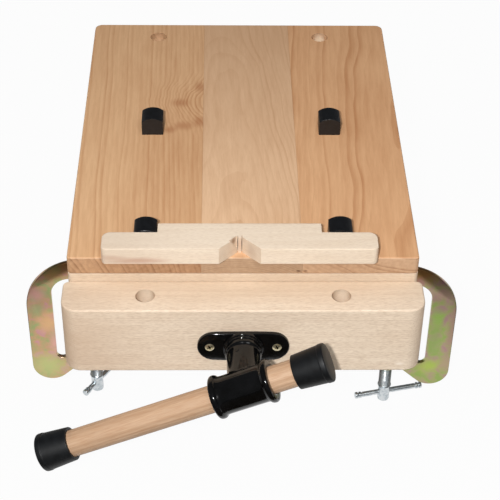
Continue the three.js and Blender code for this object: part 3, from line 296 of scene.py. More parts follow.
def beech(name, pale, dark, ray, end, dash, pith, turn=(0, 0, 0), year=3.2, bend=9.0, wave=0.25, lines=0.5,
          rays=0.3, streaks=0.3, rough=0.5, late=0.25, knot=None, stains_and_painted_light=()):
    """Beech with its pith through a point in mm, running along Y before the turn in degrees.

    years = |(x, z) from the pith + noise * bend| / year, and the dark latewood is each year from late on.
    A dash (width and length in mm) is a ray, and end grain has a pale and a dark colour of its own.
    A knot (place, reach and height in mm) lifts the years round a point, so that the lines flow round it,
    darker than elsewhere."""
    made = empty_material(name)
    tree = made.node_tree
    coordinates = add(tree, "TexCoord")
    place = coordinates.outputs["Object"]
    local = add(tree, "Mapping", {"Vector": place, "Location": [value * MM for value in pith],
                                  "Rotation": [math.radians(value) for value in turn]},
                vector_type="TEXTURE").outputs[0]
    slow_place = add(tree, "VectorMath", {0: local, 1: (1, wave, 1)}, operation="MULTIPLY").outputs[0]
    slow = add(tree, "TexNoise", {"Vector": slow_place, "Scale": 1 / (SLOW_BEND * MM), "Detail": 1.5})
    long_place = add(tree, "VectorMath", {0: local, 1: (1, 1 / LONG_GRAIN, 1)}, operation="MULTIPLY").outputs[0]
    fine = add(tree, "TexNoise", {"Vector": long_place, "Scale": 1 / (FINE_BEND * MM), "Detail": 3.0})
    bent = add(tree, "VectorMath", {0: slow.outputs["Color"], 1: (bend * MM, 0, bend * MM), 2: local},
               operation="MULTIPLY_ADD").outputs[0]
    depth = FINE_BEND_DEPTH * MM
    bent = add(tree, "VectorMath", {0: fine.outputs["Color"], 1: (depth, 0, depth), 2: bent},
               operation="MULTIPLY_ADD").outputs[0]
    across = add(tree, "VectorMath", {0: bent, 1: (1, 0, 1)}, operation="MULTIPLY").outputs[0]
    radius = add(tree, "VectorMath", {0: across}, operation="LENGTH").outputs["Value"]
    if knot:
        knot_place, knot_reach, knot_height = knot
        twist = add(tree, "TexNoise", {"Vector": place, "Scale": 1 / (KNOT_TWIST * MM), "Detail": 2.0}).outputs["Color"]
        twisted = add(tree, "VectorMath", {0: twist, 1: [KNOT_TWIST * MM] * 3, 2: place}, operation="MULTIPLY_ADD")
        reach = add(tree, "VectorMath", {0: twisted.outputs[0],
                                         1: [(value + KNOT_TWIST / 2) * MM for value in knot_place]},
                    operation="DISTANCE").outputs["Value"]
        lift = add(tree, "MapRange", {"Value": reach, "From Min": 0, "From Max": knot_reach * MM,
                                      "To Min": knot_height * MM, "To Max": 0},
                   interpolation_type="SMOOTHSTEP").outputs[0]
        radius = add(tree, "Math", {0: radius, 1: lift}, operation="ADD").outputs[0]
        near = add(tree, "Math", {0: lift, 1: KNOT_LINES / (knot_height * MM)}, operation="MULTIPLY").outputs[0]
    years = add(tree, "Math", {0: radius, 1: 1 / (year * MM)}, operation="MULTIPLY").outputs[0]
    part = add(tree, "Math", {0: years}, operation="FRACT").outputs[0]
    latewood = add(tree, "MapRange", {"Value": part, "From Min": late, "From Max": 0.97},
                   interpolation_type="SMOOTHSTEP").outputs[0]
    season = add(tree, "TexNoise", {"W": years, "Scale": 0.45, "Detail": 2.0}, noise_dimensions="1D").outputs[0]
    season = add(tree, "MapRange", {"Value": season, "From Min": 0.4, "From Max": 0.65, "To Min": 0.05,
                                    "To Max": lines}).outputs[0]
    if knot:
        season = add(tree, "Math", {0: season, 1: near}, operation="ADD").outputs[0]
    dark_share = add(tree, "Math", {0: latewood, 1: season}, operation="MULTIPLY").outputs[0]
    streak = add(tree, "TexNoise", {"Vector": long_place, "Scale": 1 / (STREAK_WIDTH * MM), "Detail": 4.0})
    streak = add(tree, "MapRange", {"Value": streak.outputs[0], "From Min": 0.35, "From Max": 0.7,
                                    "To Max": streaks}).outputs[0]
    cloud = add(tree, "TexNoise", {"Vector": slow_place, "Scale": 1 / (CLOUD_WIDTH * MM), "Detail": 2.0})
    cloud = add(tree, "MapRange", {"Value": cloud.outputs[0], "From Min": 0.35, "From Max": 0.75,
                                   "To Max": streaks}).outputs[0]
    dark_share = add(tree, "Math", {0: dark_share, 1: streak}, operation="ADD").outputs[0]
    dark_share = add(tree, "Math", {0: dark_share, 1: cloud}, operation="ADD", use_clamp=True).outputs[0]
    colour = add(tree, "MixRGB", {"Fac": dark_share, "Color1": linear(pale), "Color2": linear(dark)}).outputs[0]
    dash_width, dash_length = dash
    ray_place = add(tree, "VectorMath", {0: local, 1: (1, dash_width / dash_length, 1)},
                    operation="MULTIPLY").outputs[0]
    ray_share = add(tree, "TexNoise", {"Vector": ray_place, "Scale": 1 / (dash_width * MM), "Detail": 1.0}).outputs[0]
    ray_share = add(tree, "MapRange", {"Value": ray_share, "From Min": 0.44, "From Max": 0.7,
                                       "To Max": rays}).outputs[0]
    colour = add(tree, "MixRGB", {"Fac": ray_share, "Color1": colour, "Color2": linear(ray)}).outputs[0]
    grain = Euler([math.radians(value) for value in turn]).to_matrix() @ Vector((0, 1, 0))
    facing = add(tree, "VectorMath", {0: coordinates.outputs["Normal"], 1: grain}, operation="DOT_PRODUCT")
    facing = add(tree, "Math", {0: facing.outputs["Value"]}, operation="ABSOLUTE").outputs[0]
    end_share = add(tree, "MapRange", {"Value": facing, "From Min": 0.35, "From Max": 0.95, "To Max": END_SHARE})
    end_line = add(tree, "Math", {0: dark_share, 1: END_CONTRAST}, operation="MULTIPLY", use_clamp=True).outputs[0]
    end_colour = add(tree, "MixRGB", {"Fac": end_line, "Color1": linear(end[0]), "Color2": linear(end[1])}).outputs[0]
    colour = add(tree, "MixRGB", {"Fac": end_share.outputs[0], "Color1": colour, "Color2": end_colour}).outputs[0]
    colour = with_stains_and_painted_light(tree, colour, place, fine.outputs["Color"], stains_and_painted_light)
    relief = add(tree, "Math", {0: ray_share, 1: dark_share}, operation="ADD").outputs[0]
    bump = add(tree, "Bump", {"Height": relief, "Strength": 0.25, "Distance": 0.15 * MM}, invert=True).outputs[0]
    gloss = add(tree, "MapRange", {"Value": dark_share, "To Min": rough, "To Max": rough + 0.08}).outputs[0]
    shader = add(tree, "BsdfPrincipled", {"Base Color": colour, "Roughness": gloss, "IOR": 1.5,
                                          "Specular IOR Level": 0.35, "Normal": bump})
    add(tree, "OutputMaterial", {"Surface": shader.outputs[0]})
    return made


# Oiled beech is warm, with quiet lines and a low sheen. Planed beech is pale and dry, and shows its rays.
OILED = {"ray": "#a5744a", "rays": 0.1, "dash": (0.8, 13), "end": ("#cba98a", "#997353"), "rough": 0.48}
PLANED = {"ray": "#a98768", "dash": (0.6, 5), "end": ("#e0c8ae", "#c09c7c"), "rough": 0.65}
ALONG_X = (0, 0, -90)
KNOT = (-50, 262, 100)
KNOT_BROWN = ("#a3663f", 0.5)
# Painted shade: two thin dark lines along the saw kerf's sides stand in for its shaded walls.
KERF_SIDE_SHADE = ((1.1, 3, 18), "#54362a", 0.95)
wood = {
    "left_stave": beech("oiled beech, left stave", "#dfb489", "#bb865c", pith=(-294, 0, 10), turn=(0, 0, 1.0),
                        year=5.2, bend=13, wave=0.35, lines=0.4, streaks=0.3, knot=(KNOT, 66, 24),
                        stains_and_painted_light=[((-70, 261, 100), (15, 12, 15), *KNOT_BROWN), ((-66, 214, 100), (17, 13, 15), *KNOT_BROWN),
                                ((-47, 294, 100), (10, 16, 15), *KNOT_BROWN), ((-47, 222, 100), (13, 16, 15), *KNOT_BROWN),
                                # The last two patches are painted light and shade on the back dog hole's far wall: a
                                # pale lit patch and a dark spot.
                                ((-81, 206, 100), (11, 10, 15), *KNOT_BROWN), ((-100, 417, 89), (12, 7, 11), "#d2aa86", 0.8),
                                ((-95, 416, 85), (6, 6, 7), "#7d5535", 0.85)],
                        **{**OILED, "end": ("#bf9672", "#7f573b")}),
    "middle_stave": beech("oiled beech, middle stave", "#e7c09a", "#c4966f", pith=(-11, 215, -20),
                          turn=(-1.9, 0, 2.0), year=2.5, bend=9, wave=0.7, lines=0.4, streaks=0.25, late=0.5,
                          stains_and_painted_light=[((57, -22, 83), (4, 4, 1.8), "#5a3a24", 0.9),
                                  # Painted shade: the worktop under the saw notch is darkened, and the stave gets
                                  # darker towards its back, where less light falls.
                                  ((-4, -22, 101), (15, 10, 4), "#a87c57", 0.6),
                                  ((0, 470, 100), (260, 470, 60), "#b88d68", 0.4)],
                          **{**OILED, "end": ("#b4977b", "#886649")}),
    "right_stave": beech("oiled beech, right stave", "#e1b185", "#b77e53", pith=(215, 180, 260), turn=(0.6, 0, -2.0),
                         year=5.0, bend=14, wave=0.6, lines=0.46, streaks=0.24, late=0.15,
                         # Painted light: a pale lit patch on the back dog hole's far wall. The small dark spot on the
                         # front end is a knot mark.
                         stains_and_painted_light=[((64, -22, 83), (3, 4, 1.6), "#5a3a24", 0.8), ((100, 417, 89), (12, 7, 11), "#f0dcc0", 0.65)],
                         **OILED),
    "jaw": beech("planed beech, jaw", "#e9d7c1", "#cdb196", pith=(0, 30, -160), turn=ALONG_X, year=2.6, bend=7,
                 lines=0.25, rays=0.36, streaks=0.25,
                 # Painted light: the far walls of the two dog holes are made paler. The jaws are also darker along the
                 # seam between them, under the worktop's edge, and towards the left end. The pale spot low at the right
                 # is a chip.
                 stains_and_painted_light=[((0, -28, 68), (600, 44, 24), "#c9b196", 0.5), ((-97, -38, 62), (11, 9, 10), "#e6d3bd", 0.6),
                         ((103, -38, 62), (11, 9, 10), "#e6d3bd", 0.6),
                         ((163, -69, -4), (7, 3, 2.5), "#f8eadb", 0.7),
                         ((-190, -60, 20), (120, 40, 90), "#bf9f82", 0.55)], **PLANED),
    "board": beech("planed beech, sawing board", "#ecdbc6", "#d9c1a6", pith=(0, -40, 240), turn=ALONG_X, year=2.4,
                   bend=6, lines=0.25, rays=0.2, streaks=0.22,
                   stains_and_painted_light=[((-112, -33, 105), (46, 12, 6), "#b9836b", 0.75),
                           ((-137, -33, 109), (24, 12, 4.5), "#bf917a", 0.6),
                           ((-155, -20, 112), (110, 60, 60), "#cdb8a2", 0.5),
                           # Painted shade in the saw notch: its small triangular pocket, the kerf's back wall and the
                           # notch's right wall are darkened, and the kerf's sides get their dark lines.
                           ((-9.5, -15, 116), (5, 5, 7), "#8a6242", 0.8),
                           ((-3.7, -13.6, 110), (3, 3, 16), "#c39a7c", 0.6), ((9, -22, 108), (10, 10, 14), "#b8a08c", 0.45),
                           ((-5.8, -12.4, 110), *KERF_SIDE_SHADE), ((-1.6, -12.4, 110), *KERF_SIDE_SHADE)],
                   **PLANED),
    "rail": beech("planed beech, rails", "#e6d4bd", "#cdb294", pith=(0, 0, -120), year=2.8, lines=0.4, rays=0.3, **PLANED),
}
print("woods:", len(wood))

# %% [markdown]
# ## Enamel, rubber, plastic and plating
# The vise casting is dipped in black enamel, which flows smooth but follows the sand-cast iron below, so it
# gets a low, wide bump. The end caps are moulded rubber with a dusty bloom, and the dogs are moulded nylon with
# a fine spark-eroded texture. The clamp hooks are zinc plated and yellow chromated: a thin film that shifts from
# yellow-green to pink, drawn as slow noise between those colours. Turned steel is zinc plated and bluish.

# %% Other materials


def mottled(name, tones, size, spread=(0.35, 0.65), bump_size=None, bump_height=0.0, stains_and_painted_light=(), **surface):
    """A surface whose colour drifts through its tones, in turn, on noise of a size in mm, with stains and painted
    reflections on top.

    The bump is noise of its own size. Keyword arguments are the shader's sockets, with underscores for spaces."""
    made = empty_material(name)
    tree = made.node_tree
    place = add(tree, "TexCoord").outputs["Object"]
    noise = add(tree, "TexNoise", {"Vector": place, "Scale": 1 / (size * MM), "Detail": 3.0, "Distortion": 0.4})
    colour = linear(tones[0])
    steps = np.linspace(*spread, len(tones))
    for low, high, tone in zip(steps[:-1], steps[1:], tones[1:]):
        drift = add(tree, "MapRange", {"Value": noise.outputs[0], "From Min": low, "From Max": high}).outputs[0]
        colour = add(tree, "MixRGB", {"Fac": drift, "Color1": colour, "Color2": linear(tone)}).outputs[0]
    colour = with_stains_and_painted_light(tree, colour, place, noise.outputs["Color"], stains_and_painted_light)
    sockets = {socket.replace("_", " "): value for socket, value in surface.items()}
    if bump_size:
        grit = add(tree, "TexNoise", {"Vector": place, "Scale": 1 / (bump_size * MM), "Detail": 2.0}).outputs[0]
        bump = add(tree, "Bump", {"Height": grit, "Strength": 1.0, "Distance": bump_height * MM})
        sockets["Normal"] = bump.outputs[0]
    shader = add(tree, "BsdfPrincipled", {"Base Color": colour, **sockets})
    add(tree, "OutputMaterial", {"Surface": shader.outputs[0]})
    return made


# Enamel: near black and glossy, with slow ripples in its mirror images.
black_enamel = mottled("black enamel on cast iron", ["#060606", "#0c0c0d"], 12, bump_size=7, bump_height=0.1,
                       Roughness=0.12, IOR=1.5, Specular_IOR_Level=0.4)
# Nylon: satin, with a fine grain that breaks up highlights.
black_nylon = mottled("moulded black nylon", ["#0b0c0e", "#131417"], 5, bump_size=0.9, bump_height=0.05,
                      Roughness=0.36, IOR=1.53, Specular_IOR_Level=0.4)
# Rubber: wide soft sheen, and a bloom that lightens it in patches.
black_rubber = mottled("moulded black rubber", ["#08090b", "#111315"], 9, bump_size=1.2, bump_height=0.05,
                       Roughness=0.5, IOR=1.52, Specular_IOR_Level=0.35)
# Chromate film: a metal whose hue drifts from green through yellow to orange, pink and grey, where it ran off
# thick or thin. One hook came out of the bath greener than the other. Towards the rails both get a painted brown
# reflection of the wood.
ROSY_FILM = ["#a8b078", "#bcaa7c", "#cca580", "#d09c98"]
GREEN_FILM = ["#97ab60", "#a6a870", "#ae9c80", "#b08a8a"]
FILM = {"bump_size": 2.5, "bump_height": 0.02, "Metallic": 1.0, "Roughness": 0.3}
# The second patch, brown on the upper arm by the rail, is a painted reflection of the wood.
ROSY = [((-217, 39, -110), (36, 30, 28), "#c2c684", 0.85), ((-190, 39, 46), (50, 30, 34), "#b5824c", 0.9),
        ((-206, 39, 24), (14, 30, 11), "#d0a468", 0.7), ((-226, 39, -4), (16, 30, 15), "#e4aea2", 0.9),
        ((-225, 39, -25), (14, 30, 12), "#b3b184", 0.8), ((-214, 39, -44), (18, 30, 24), "#ecbc8c", 0.9),
        ((-206, 39, -74), (13, 30, 28), "#e6b0a4", 0.9)]
# The first patch, brown on the upper arm by the rail, is a painted reflection of the wood.
GREEN = [((196, 29, 40), (46, 30, 30), "#c08a52", 0.9), ((219, 29, 6), (20, 30, 18), "#b08c82", 0.85),
         ((217, 29, -30), (12, 30, 24), "#98b85c", 0.8), ((216, 29, -66), (12, 30, 34), "#99a968", 0.8),
         ((234, 29, -46), (8, 30, 56), "#ac8a7e", 0.8), ((213, 29, -103), (22, 30, 17), "#aec05c", 0.85),
         ((231, 29, -100), (11, 30, 18), "#b59c82", 0.8)]
yellow_zinc = {"left": mottled("yellow chromated zinc, rosy", ROSY_FILM, 12, stains_and_painted_light=ROSY, **FILM),
               "right": mottled("yellow chromated zinc, green", GREEN_FILM, 12, stains_and_painted_light=GREEN, **FILM)}
# Clear zinc: a cool, slightly uneven silver.
blue_zinc = mottled("clear zinc on turned steel", ["#b4bdc2", "#dadee0"], 4, Metallic=1.0, Roughness=0.36)
# Small zinc screws look cream, because their rough plating mirrors the wood around them.
brass_zinc = mottled("yellow zinc on small screws", ["#efe6c9", "#d8caa0"], 2, Metallic=1.0, Roughness=0.4)
# Cast iron: dark, grainy and almost matt.
bare_iron = mottled("bare cast iron", ["#2e2d2d", "#413e3b"], 3, bump_size=1.5, bump_height=0.15, Metallic=0.6,
                    Roughness=0.6)
print("materials:", len(bpy.data.materials))

# %% [markdown]
# ## Helpers for meshes
# Every new piece is a grid of points: rows along a profile and columns round it. Making the whole grid as one
# array is fast and keeps the formula readable. A corner of a profile is eased by a small curve, because no cast,
# moulded or turned edge is sharp, and a soft edge is what catches the light.

# %% Grids, profiles and pieces
SMOOTH_ANGLE = math.radians(38)
WELD = 0.002 * MM


def unit(vectors):
    """Vectors of length one."""
    vectors = np.asarray(vectors, float)
    return vectors / np.maximum(np.linalg.norm(vectors, axis=-1, keepdims=True), 1e-12)


def eased(corners, rounds, steps=6):
    """A path whose corners are curves: (1-t)^2 a + 2t(1-t) corner + t^2 b, a and b a round away on its two sides."""
    corners = np.array(corners, float)
    rounds = np.broadcast_to(np.asarray(rounds, float), len(corners))[:, None]
    before = corners + rounds * unit(np.roll(corners, 1, 0) - corners)
    after = corners + rounds * unit(np.roll(corners, -1, 0) - corners)
    t = np.linspace(0, 1, steps)[None, :, None]
    path = (1 - t) ** 2 * before[:, None] + 2 * t * (1 - t) * corners[:, None] + t ** 2 * after[:, None]
    return path.reshape(-1, 2)


def turned(profile, base, axis, steps=56):
    """Points of (radius, along) pairs in mm turned about an axis: base + along * axis + radius * a circle."""
    axis = unit(axis)
    side = unit(np.cross(axis, (0.31, 0.17, 0.93)))
    angles = np.linspace(0, 2 * np.pi, steps, endpoint=False)[:, None]
    circle = np.cos(angles) * side + np.sin(angles) * np.cross(axis, side)
    radius, along = np.asarray(profile, float).T[:, :, None, None] * MM
    return np.asarray(base) + along * axis + radius * circle


def quads(rows, columns, ring):
    """Corner numbers of a grid's quads. Columns always join up, and a ring joins its last row to its first."""
    row, column = np.meshgrid(np.arange(rows if ring else rows - 1), np.arange(columns), indexing="ij")
    next_row = (row + 1) % rows
    next_column = (column + 1) % columns
    corners = (row * columns + column, row * columns + next_column,
               next_row * columns + next_column, next_row * columns + column)
    return np.stack(corners, -1).reshape(-1, 4)


def finished(name, mesh, finish, nodes):
    """Links a mesh as a piece that rides on its nodes' body and stands for them."""
    mesh.materials.clear()
    mesh.materials.append(finish)
    piece = bpy.data.objects.new(name, mesh)
    bpy.context.scene.collection.objects.link(piece)
    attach(piece, frame["nodes"][nodes[0]]["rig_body"])
    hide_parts(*nodes)
    return piece


def shaped(name, grids, finish, nodes, ring=False, capped=False):
    """A piece made of one or more grids of points. Poles are merged, and capped ends are single flat faces."""
    points = np.concatenate([grid.reshape(-1, 3) for grid in grids])
    faces = []
    start = 0
    for grid in grids:
        rows, columns = grid.shape[:2]
        faces += (quads(rows, columns, ring) + start).tolist()
        if capped:
            last = start + (rows - 1) * columns
            faces += [list(range(start + columns - 1, start - 1, -1)), list(range(last, last + columns))]
        start += rows * columns
    mesh = bpy.data.meshes.new(name)
    mesh.from_pydata(points.tolist(), [], faces)
    work = bmesh.new()
    work.from_mesh(mesh)
    bmesh.ops.remove_doubles(work, verts=work.verts, dist=WELD)
    bmesh.ops.dissolve_degenerate(work, edges=work.edges, dist=WELD)
    bmesh.ops.recalc_face_normals(work, faces=work.faces)
    work.to_mesh(mesh)
    work.free()
    mesh.shade_smooth()
    mesh.set_sharp_from_angle(angle=SMOOTH_ANGLE)
    return finished(name, mesh, finish, nodes)


RIM_ANGLE = math.radians(50)


def softened(node, edge, finish, glued=()):
    """A merged copy of a solid whose rims are eased by some mm, apart from those on glued planes of x.

    Weighted normals keep its flat faces flat, and glued rims stay sharp."""
    mesh = frame["nodes"][node].data.copy()
    mesh.name = node + "_eased"
    work = bmesh.new()
    work.from_mesh(mesh)
    bmesh.ops.remove_doubles(work, verts=work.verts, dist=WELD)
    bmesh.ops.dissolve_limit(work, angle_limit=math.radians(0.5), verts=work.verts, edges=work.edges)
    angles = np.array([rim.calc_face_angle(0.0) for rim in work.edges])
    ends = np.array([[corner.co.x for corner in rim.verts] for rim in work.edges])
    kept = np.any([np.isclose(ends, plane, atol=WELD).all(axis=1) for plane in glued] or [angles < 0], axis=0)
    work.to_mesh(mesh)
    work.free()
    mesh.shade_smooth()
    weights = mesh.attributes.new("bevel_weight_edge", "FLOAT", "EDGE")
    weights.data.foreach_set("value", ((angles > RIM_ANGLE) & ~kept).astype(np.float32))
    sharp = mesh.attributes.new("sharp_edge", "BOOLEAN", "EDGE")
    sharp.data.foreach_set("value", (angles > RIM_ANGLE) & kept)
    piece = finished(node + "_eased", mesh, finish, [node])
    rims = piece.modifiers.new("eased rims", "BEVEL")
    rims.width = edge * MM
    rims.segments = 3
    rims.limit_method = "WEIGHT"
    piece.modifiers.new("flat faces", "WEIGHTED_NORMAL").keep_sharp = True
    return piece


def middle(node):
    """The middle of a solid's box."""
    low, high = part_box(node)
    return np.array((low + high) / 2)


print("helpers ready")

# %% [markdown]
# ## Woodwork and dogs
# The staves, jaws, rails and the sawing board have their right shape as solids. What they lack is the worn,
# sanded edge: a copy of each is merged into one skin, its rims are eased by a fraction of a millimetre, and its
# large faces keep flat shading. The dogs, which are moulded, get a larger radius.

# %% Eased woodwork
STAVE_EDGE = 1.0
BLOCK_EDGE = 0.6
DOG_EDGE = 1.2

glue_planes = [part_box("left_stave")[1].x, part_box("middle_stave")[0].x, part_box("middle_stave")[1].x,
               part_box("right_stave")[0].x]
for node in ("left_stave", "middle_stave", "right_stave"):
    softened(node, STAVE_EDGE, wood[node], glue_planes)
for node, kind in (("fixed_jaw", "jaw"), ("moving_jaw", "jaw"), ("sawing_board", "board"), ("rear_rail", "jaw"),
                   ("left_rail", "rail"), ("right_rail", "rail")):
    softened(node, BLOCK_EDGE, wood[kind])
dogs = [softened(f"bench_dog_{row}_{side}", DOG_EDGE, black_nylon)
        for row in ("front", "middle") for side in ("left", "right")]
print("eased wooden pieces and", len(dogs), "dogs")

# %% [markdown]
# ## Vise hub
# The hub is a casting like a plumber's tee: a barrel that the handle slides through, with a bead at each end,
# and a stem that is pinned to the screw. Each is a turned profile. Where the stem meets the barrel, its end ring
# follows the barrel's surface and flares into it, as a casting's fillet does: at a place round the stem, the
# barrel's surface is at sqrt(R^2 - (radius * sin angle)^2) from the barrel's axis.

# %% Hub casting
BARREL_RADIUS = 19.6
BARREL_HALF = 31.0
BEAD_RADIUS = 22.5
BEAD_LENGTH = 6.5
BARREL_BORE = 14.3
STEM_RADIUS = 17.0
STEM_FLANGE_RADIUS = 19.0
STEM_FLANGE_LENGTH = 4.5
FILLET = 1.9
STEM_SINK = 2.0
STEM_STEPS = 72

hub_middle = np.array(joints["vise_screw_turn"]["pos_m"])
handle_axis = unit(joints["vise_handle_slide"]["axis"])
back = np.array((0.0, 1.0, 0.0))
across_handle = np.cross(handle_axis, back)
stem_length = (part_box("vise_hub")[1].y - hub_middle[1]) / MM

barrel_end = [(BARREL_RADIUS, BARREL_HALF - BEAD_LENGTH - 3), (BARREL_RADIUS + 0.6, BARREL_HALF - BEAD_LENGTH - 0.4),
              (BEAD_RADIUS, BARREL_HALF - BEAD_LENGTH + 0.6), (BEAD_RADIUS, BARREL_HALF), (BARREL_BORE, BARREL_HALF)]
barrel_rounds = [2.0, 1.2, 2.6, 2.9, 1.2]
barrel_corners = barrel_end + [(radius, -along) for radius, along in reversed(barrel_end)]
barrel_profile = eased(barrel_corners, barrel_rounds + barrel_rounds[::-1], steps=8)
barrel = turned(barrel_profile, hub_middle, handle_axis, steps=72)


def stem_grid():
    """Rows from the stem's axis inside the barrel's wall, through the fillet, up the stem and over its flange."""
    angles = np.linspace(0, 2 * np.pi, STEM_STEPS, endpoint=False)

    def seat(radius):
        return np.sqrt(np.maximum(BARREL_RADIUS ** 2 - np.outer(radius, np.sin(angles)) ** 2, 0))

    cap_radius = np.linspace(0, STEM_RADIUS + FILLET, 6)
    sweep = np.linspace(0, np.pi / 2, 6)
    fillet_radius = STEM_RADIUS + FILLET * (1 - np.sin(sweep))
    fillet_rise = FILLET * (1 - np.cos(sweep))[:, None]
    top = eased([(STEM_RADIUS, stem_length - STEM_FLANGE_LENGTH - 4), (STEM_RADIUS, stem_length - STEM_FLANGE_LENGTH - 2),
                 (STEM_FLANGE_RADIUS, stem_length - STEM_FLANGE_LENGTH), (STEM_FLANGE_RADIUS, stem_length),
                 (0, stem_length)], [0, 1.2, 1.0, 1.4, 0], steps=6)
    radius = np.concatenate([cap_radius, fillet_radius, top[:, 0]])
    along = np.concatenate([seat(cap_radius) - STEM_SINK, seat(fillet_radius) + fillet_rise,
                            np.repeat(top[:, 1:], STEM_STEPS, axis=1)])
    circle = np.cos(angles)[:, None] * handle_axis + np.sin(angles)[:, None] * across_handle
    return hub_middle + (along[..., None] * back + radius[:, None, None] * circle) * MM


hub = shaped("vise_hub_casting", [np.concatenate([barrel, barrel[:1]]), stem_grid()], black_enamel, ["vise_hub"])

PIN_RADIUS = 2.5
PIN_PROUD = 0.25
pin_y = middle("hub_pin")[1]
pin_reach = STEM_RADIUS + PIN_PROUD
pin_profile = eased([(0, -pin_reach), (PIN_RADIUS, -pin_reach), (PIN_RADIUS, pin_reach), (0, pin_reach)],
                    [0, 0.9, 0.9, 0])
pin = shaped("hub_cross_pin", [turned(pin_profile, (0, pin_y, hub_middle[2]), across_handle, steps=32)], black_enamel,
             ["hub_pin"])
print("hub faces:", len(hub.data.polygons))

# %% [markdown]
# ## Collar plate
# A plate with round ends carries the collar that the stem turns against. Its section, back face, eased rim, front
# face and bore, is carried round the outline, and every point of the outline has a partner on the bore's circle.
# The collar is two turned steps on top of it.

# %% Plate and collar
PLATE_RIM = 1.2
PLATE_THICKNESS = 4.0
PLATE_ROUND = 18.7
SCREW_BORE = 10.3
COLLAR_STEPS = ((20.7, 3.4), (19.3, 6.0))
RIM_TURNS = np.linspace(0, np.pi / 2, 5)

plate_low, plate_high = (np.array(corner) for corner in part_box("collar_plate"))
vise_axis = np.array((0.0, 0.0, hub_middle[2]))
plate_half = (plate_high[0] - plate_low[0]) / 2 / MM
plate_back = plate_high[1]


def stadium(half_length, radius, steps=96):
    """A closed outline of two half circles joined by straights, by its angle: the circle moved out along x."""
    angles = np.linspace(0, 2 * np.pi, steps, endpoint=False)
    shift = (half_length - radius) * np.tanh(6 * np.cos(angles)) / np.tanh(6.0)
    return np.stack([radius * np.cos(angles) + shift, radius * np.sin(angles)], -1)


def plate_grid():
    """The section (inset, height) pairs carried round the stadium, then across to the bore's circle."""
    inset = np.concatenate([np.zeros(5), PLATE_RIM * (1 - np.cos(RIM_TURNS))])
    height = np.concatenate([np.linspace(0, PLATE_THICKNESS - PLATE_RIM, 5),
                             PLATE_THICKNESS - PLATE_RIM + PLATE_RIM * np.sin(RIM_TURNS)])
    outline = np.stack([stadium(plate_half - gap, PLATE_ROUND - gap) for gap in inset])
    bore = np.repeat(stadium(SCREW_BORE, SCREW_BORE)[None], 2, axis=0)
    flat = np.concatenate([outline, bore])
    heights = np.concatenate([height, [PLATE_THICKNESS, 0]])[:, None]
    points = np.stack([flat[..., 0], np.broadcast_to(-heights, flat.shape[:2]), flat[..., 1]], -1)
    return points * MM + vise_axis + plate_back * back


collar_profile = eased([(SCREW_BORE, 0), (COLLAR_STEPS[0][0], 0), COLLAR_STEPS[0],
                        (COLLAR_STEPS[1][0], COLLAR_STEPS[0][1]), COLLAR_STEPS[1], (SCREW_BORE, COLLAR_STEPS[1][1])],
                       [0, 0, 1.0, 0.6, 1.4, 0.6])
collar = turned(collar_profile, vise_axis + (plate_back - PLATE_THICKNESS * MM) * back, -back, steps=64)
plate = shaped("collar_plate_casting", [plate_grid(), collar], black_enamel, ["collar_plate"],
               ring=True)
print("plate faces:", len(plate.data.polygons))

# %% [markdown]
# Two oval-headed screws hold the plate. A head is a low dome, pressed in by a cross: on a grid of rings, the height
# is dome * (1 - r^2) less the depth of the cross, which is two bars whose edges slope a little.

# %% Plate screws
SCREW_HEAD = 4.75
SCREW_DOME = 1.0
CROSS_DEPTH = 1.3
CROSS_HALF = 0.75
CROSS_REACH = 2.9
CROSS_SLOPE = 0.35
CROSS_TURN = math.radians(24)


def screw_head(place):
    """Rings of the dome from its middle to its rim, then down into the plate and back to the axis."""
    angles = np.linspace(0, 2 * np.pi, 72, endpoint=False)
    rings = np.linspace(0, 1, 26)[:, None]
    x = SCREW_HEAD * rings * np.cos(angles)
    z = SCREW_HEAD * rings * np.sin(angles)

    def bar(across, along):
        return (np.clip((CROSS_HALF - np.abs(across)) / CROSS_SLOPE + 0.5, 0, 1)
                * np.clip((CROSS_REACH - np.abs(along)) / CROSS_SLOPE + 0.5, 0, 1))

    height = SCREW_DOME * (1 - rings ** 2) - CROSS_DEPTH * np.maximum(bar(x, z), bar(z, x))
    x = np.concatenate([x, x[-1:], x[:1]])
    z = np.concatenate([z, z[-1:], z[:1]])
    height = np.concatenate([height, np.full((2, angles.size), -2.5)])
    turned_x = x * math.cos(CROSS_TURN) - z * math.sin(CROSS_TURN)
    turned_z = x * math.sin(CROSS_TURN) + z * math.cos(CROSS_TURN)
    return place + np.stack([turned_x, -height, turned_z], -1) * MM


for side in ("left", "right"):
    place = middle(f"plate_screw_{side}") * (1, 0, 1) + (plate_back - PLATE_THICKNESS * MM) * back
    shaped(f"plate_screw_{side}_head", [screw_head(place)], brass_zinc, [f"plate_screw_{side}"])
print("screw spacing:", round(2 * place[0] / MM, 1), "mm")

# %% [markdown]
# ## Handle
# A beech bar slides through the barrel and carries a moulded rubber cap on each end. The bar is a turned profile
# with its own wood, whose grain runs along the bar. A cap widens towards its end, where it has a thin rim and a
# low dome.

# %% Handle and caps
HANDLE_RADIUS = 14.0
CAP_MOUTH = 17.5
CAP_END = 20.0
CAP_LENGTH = 35.5
CAP_RIM = 7.0

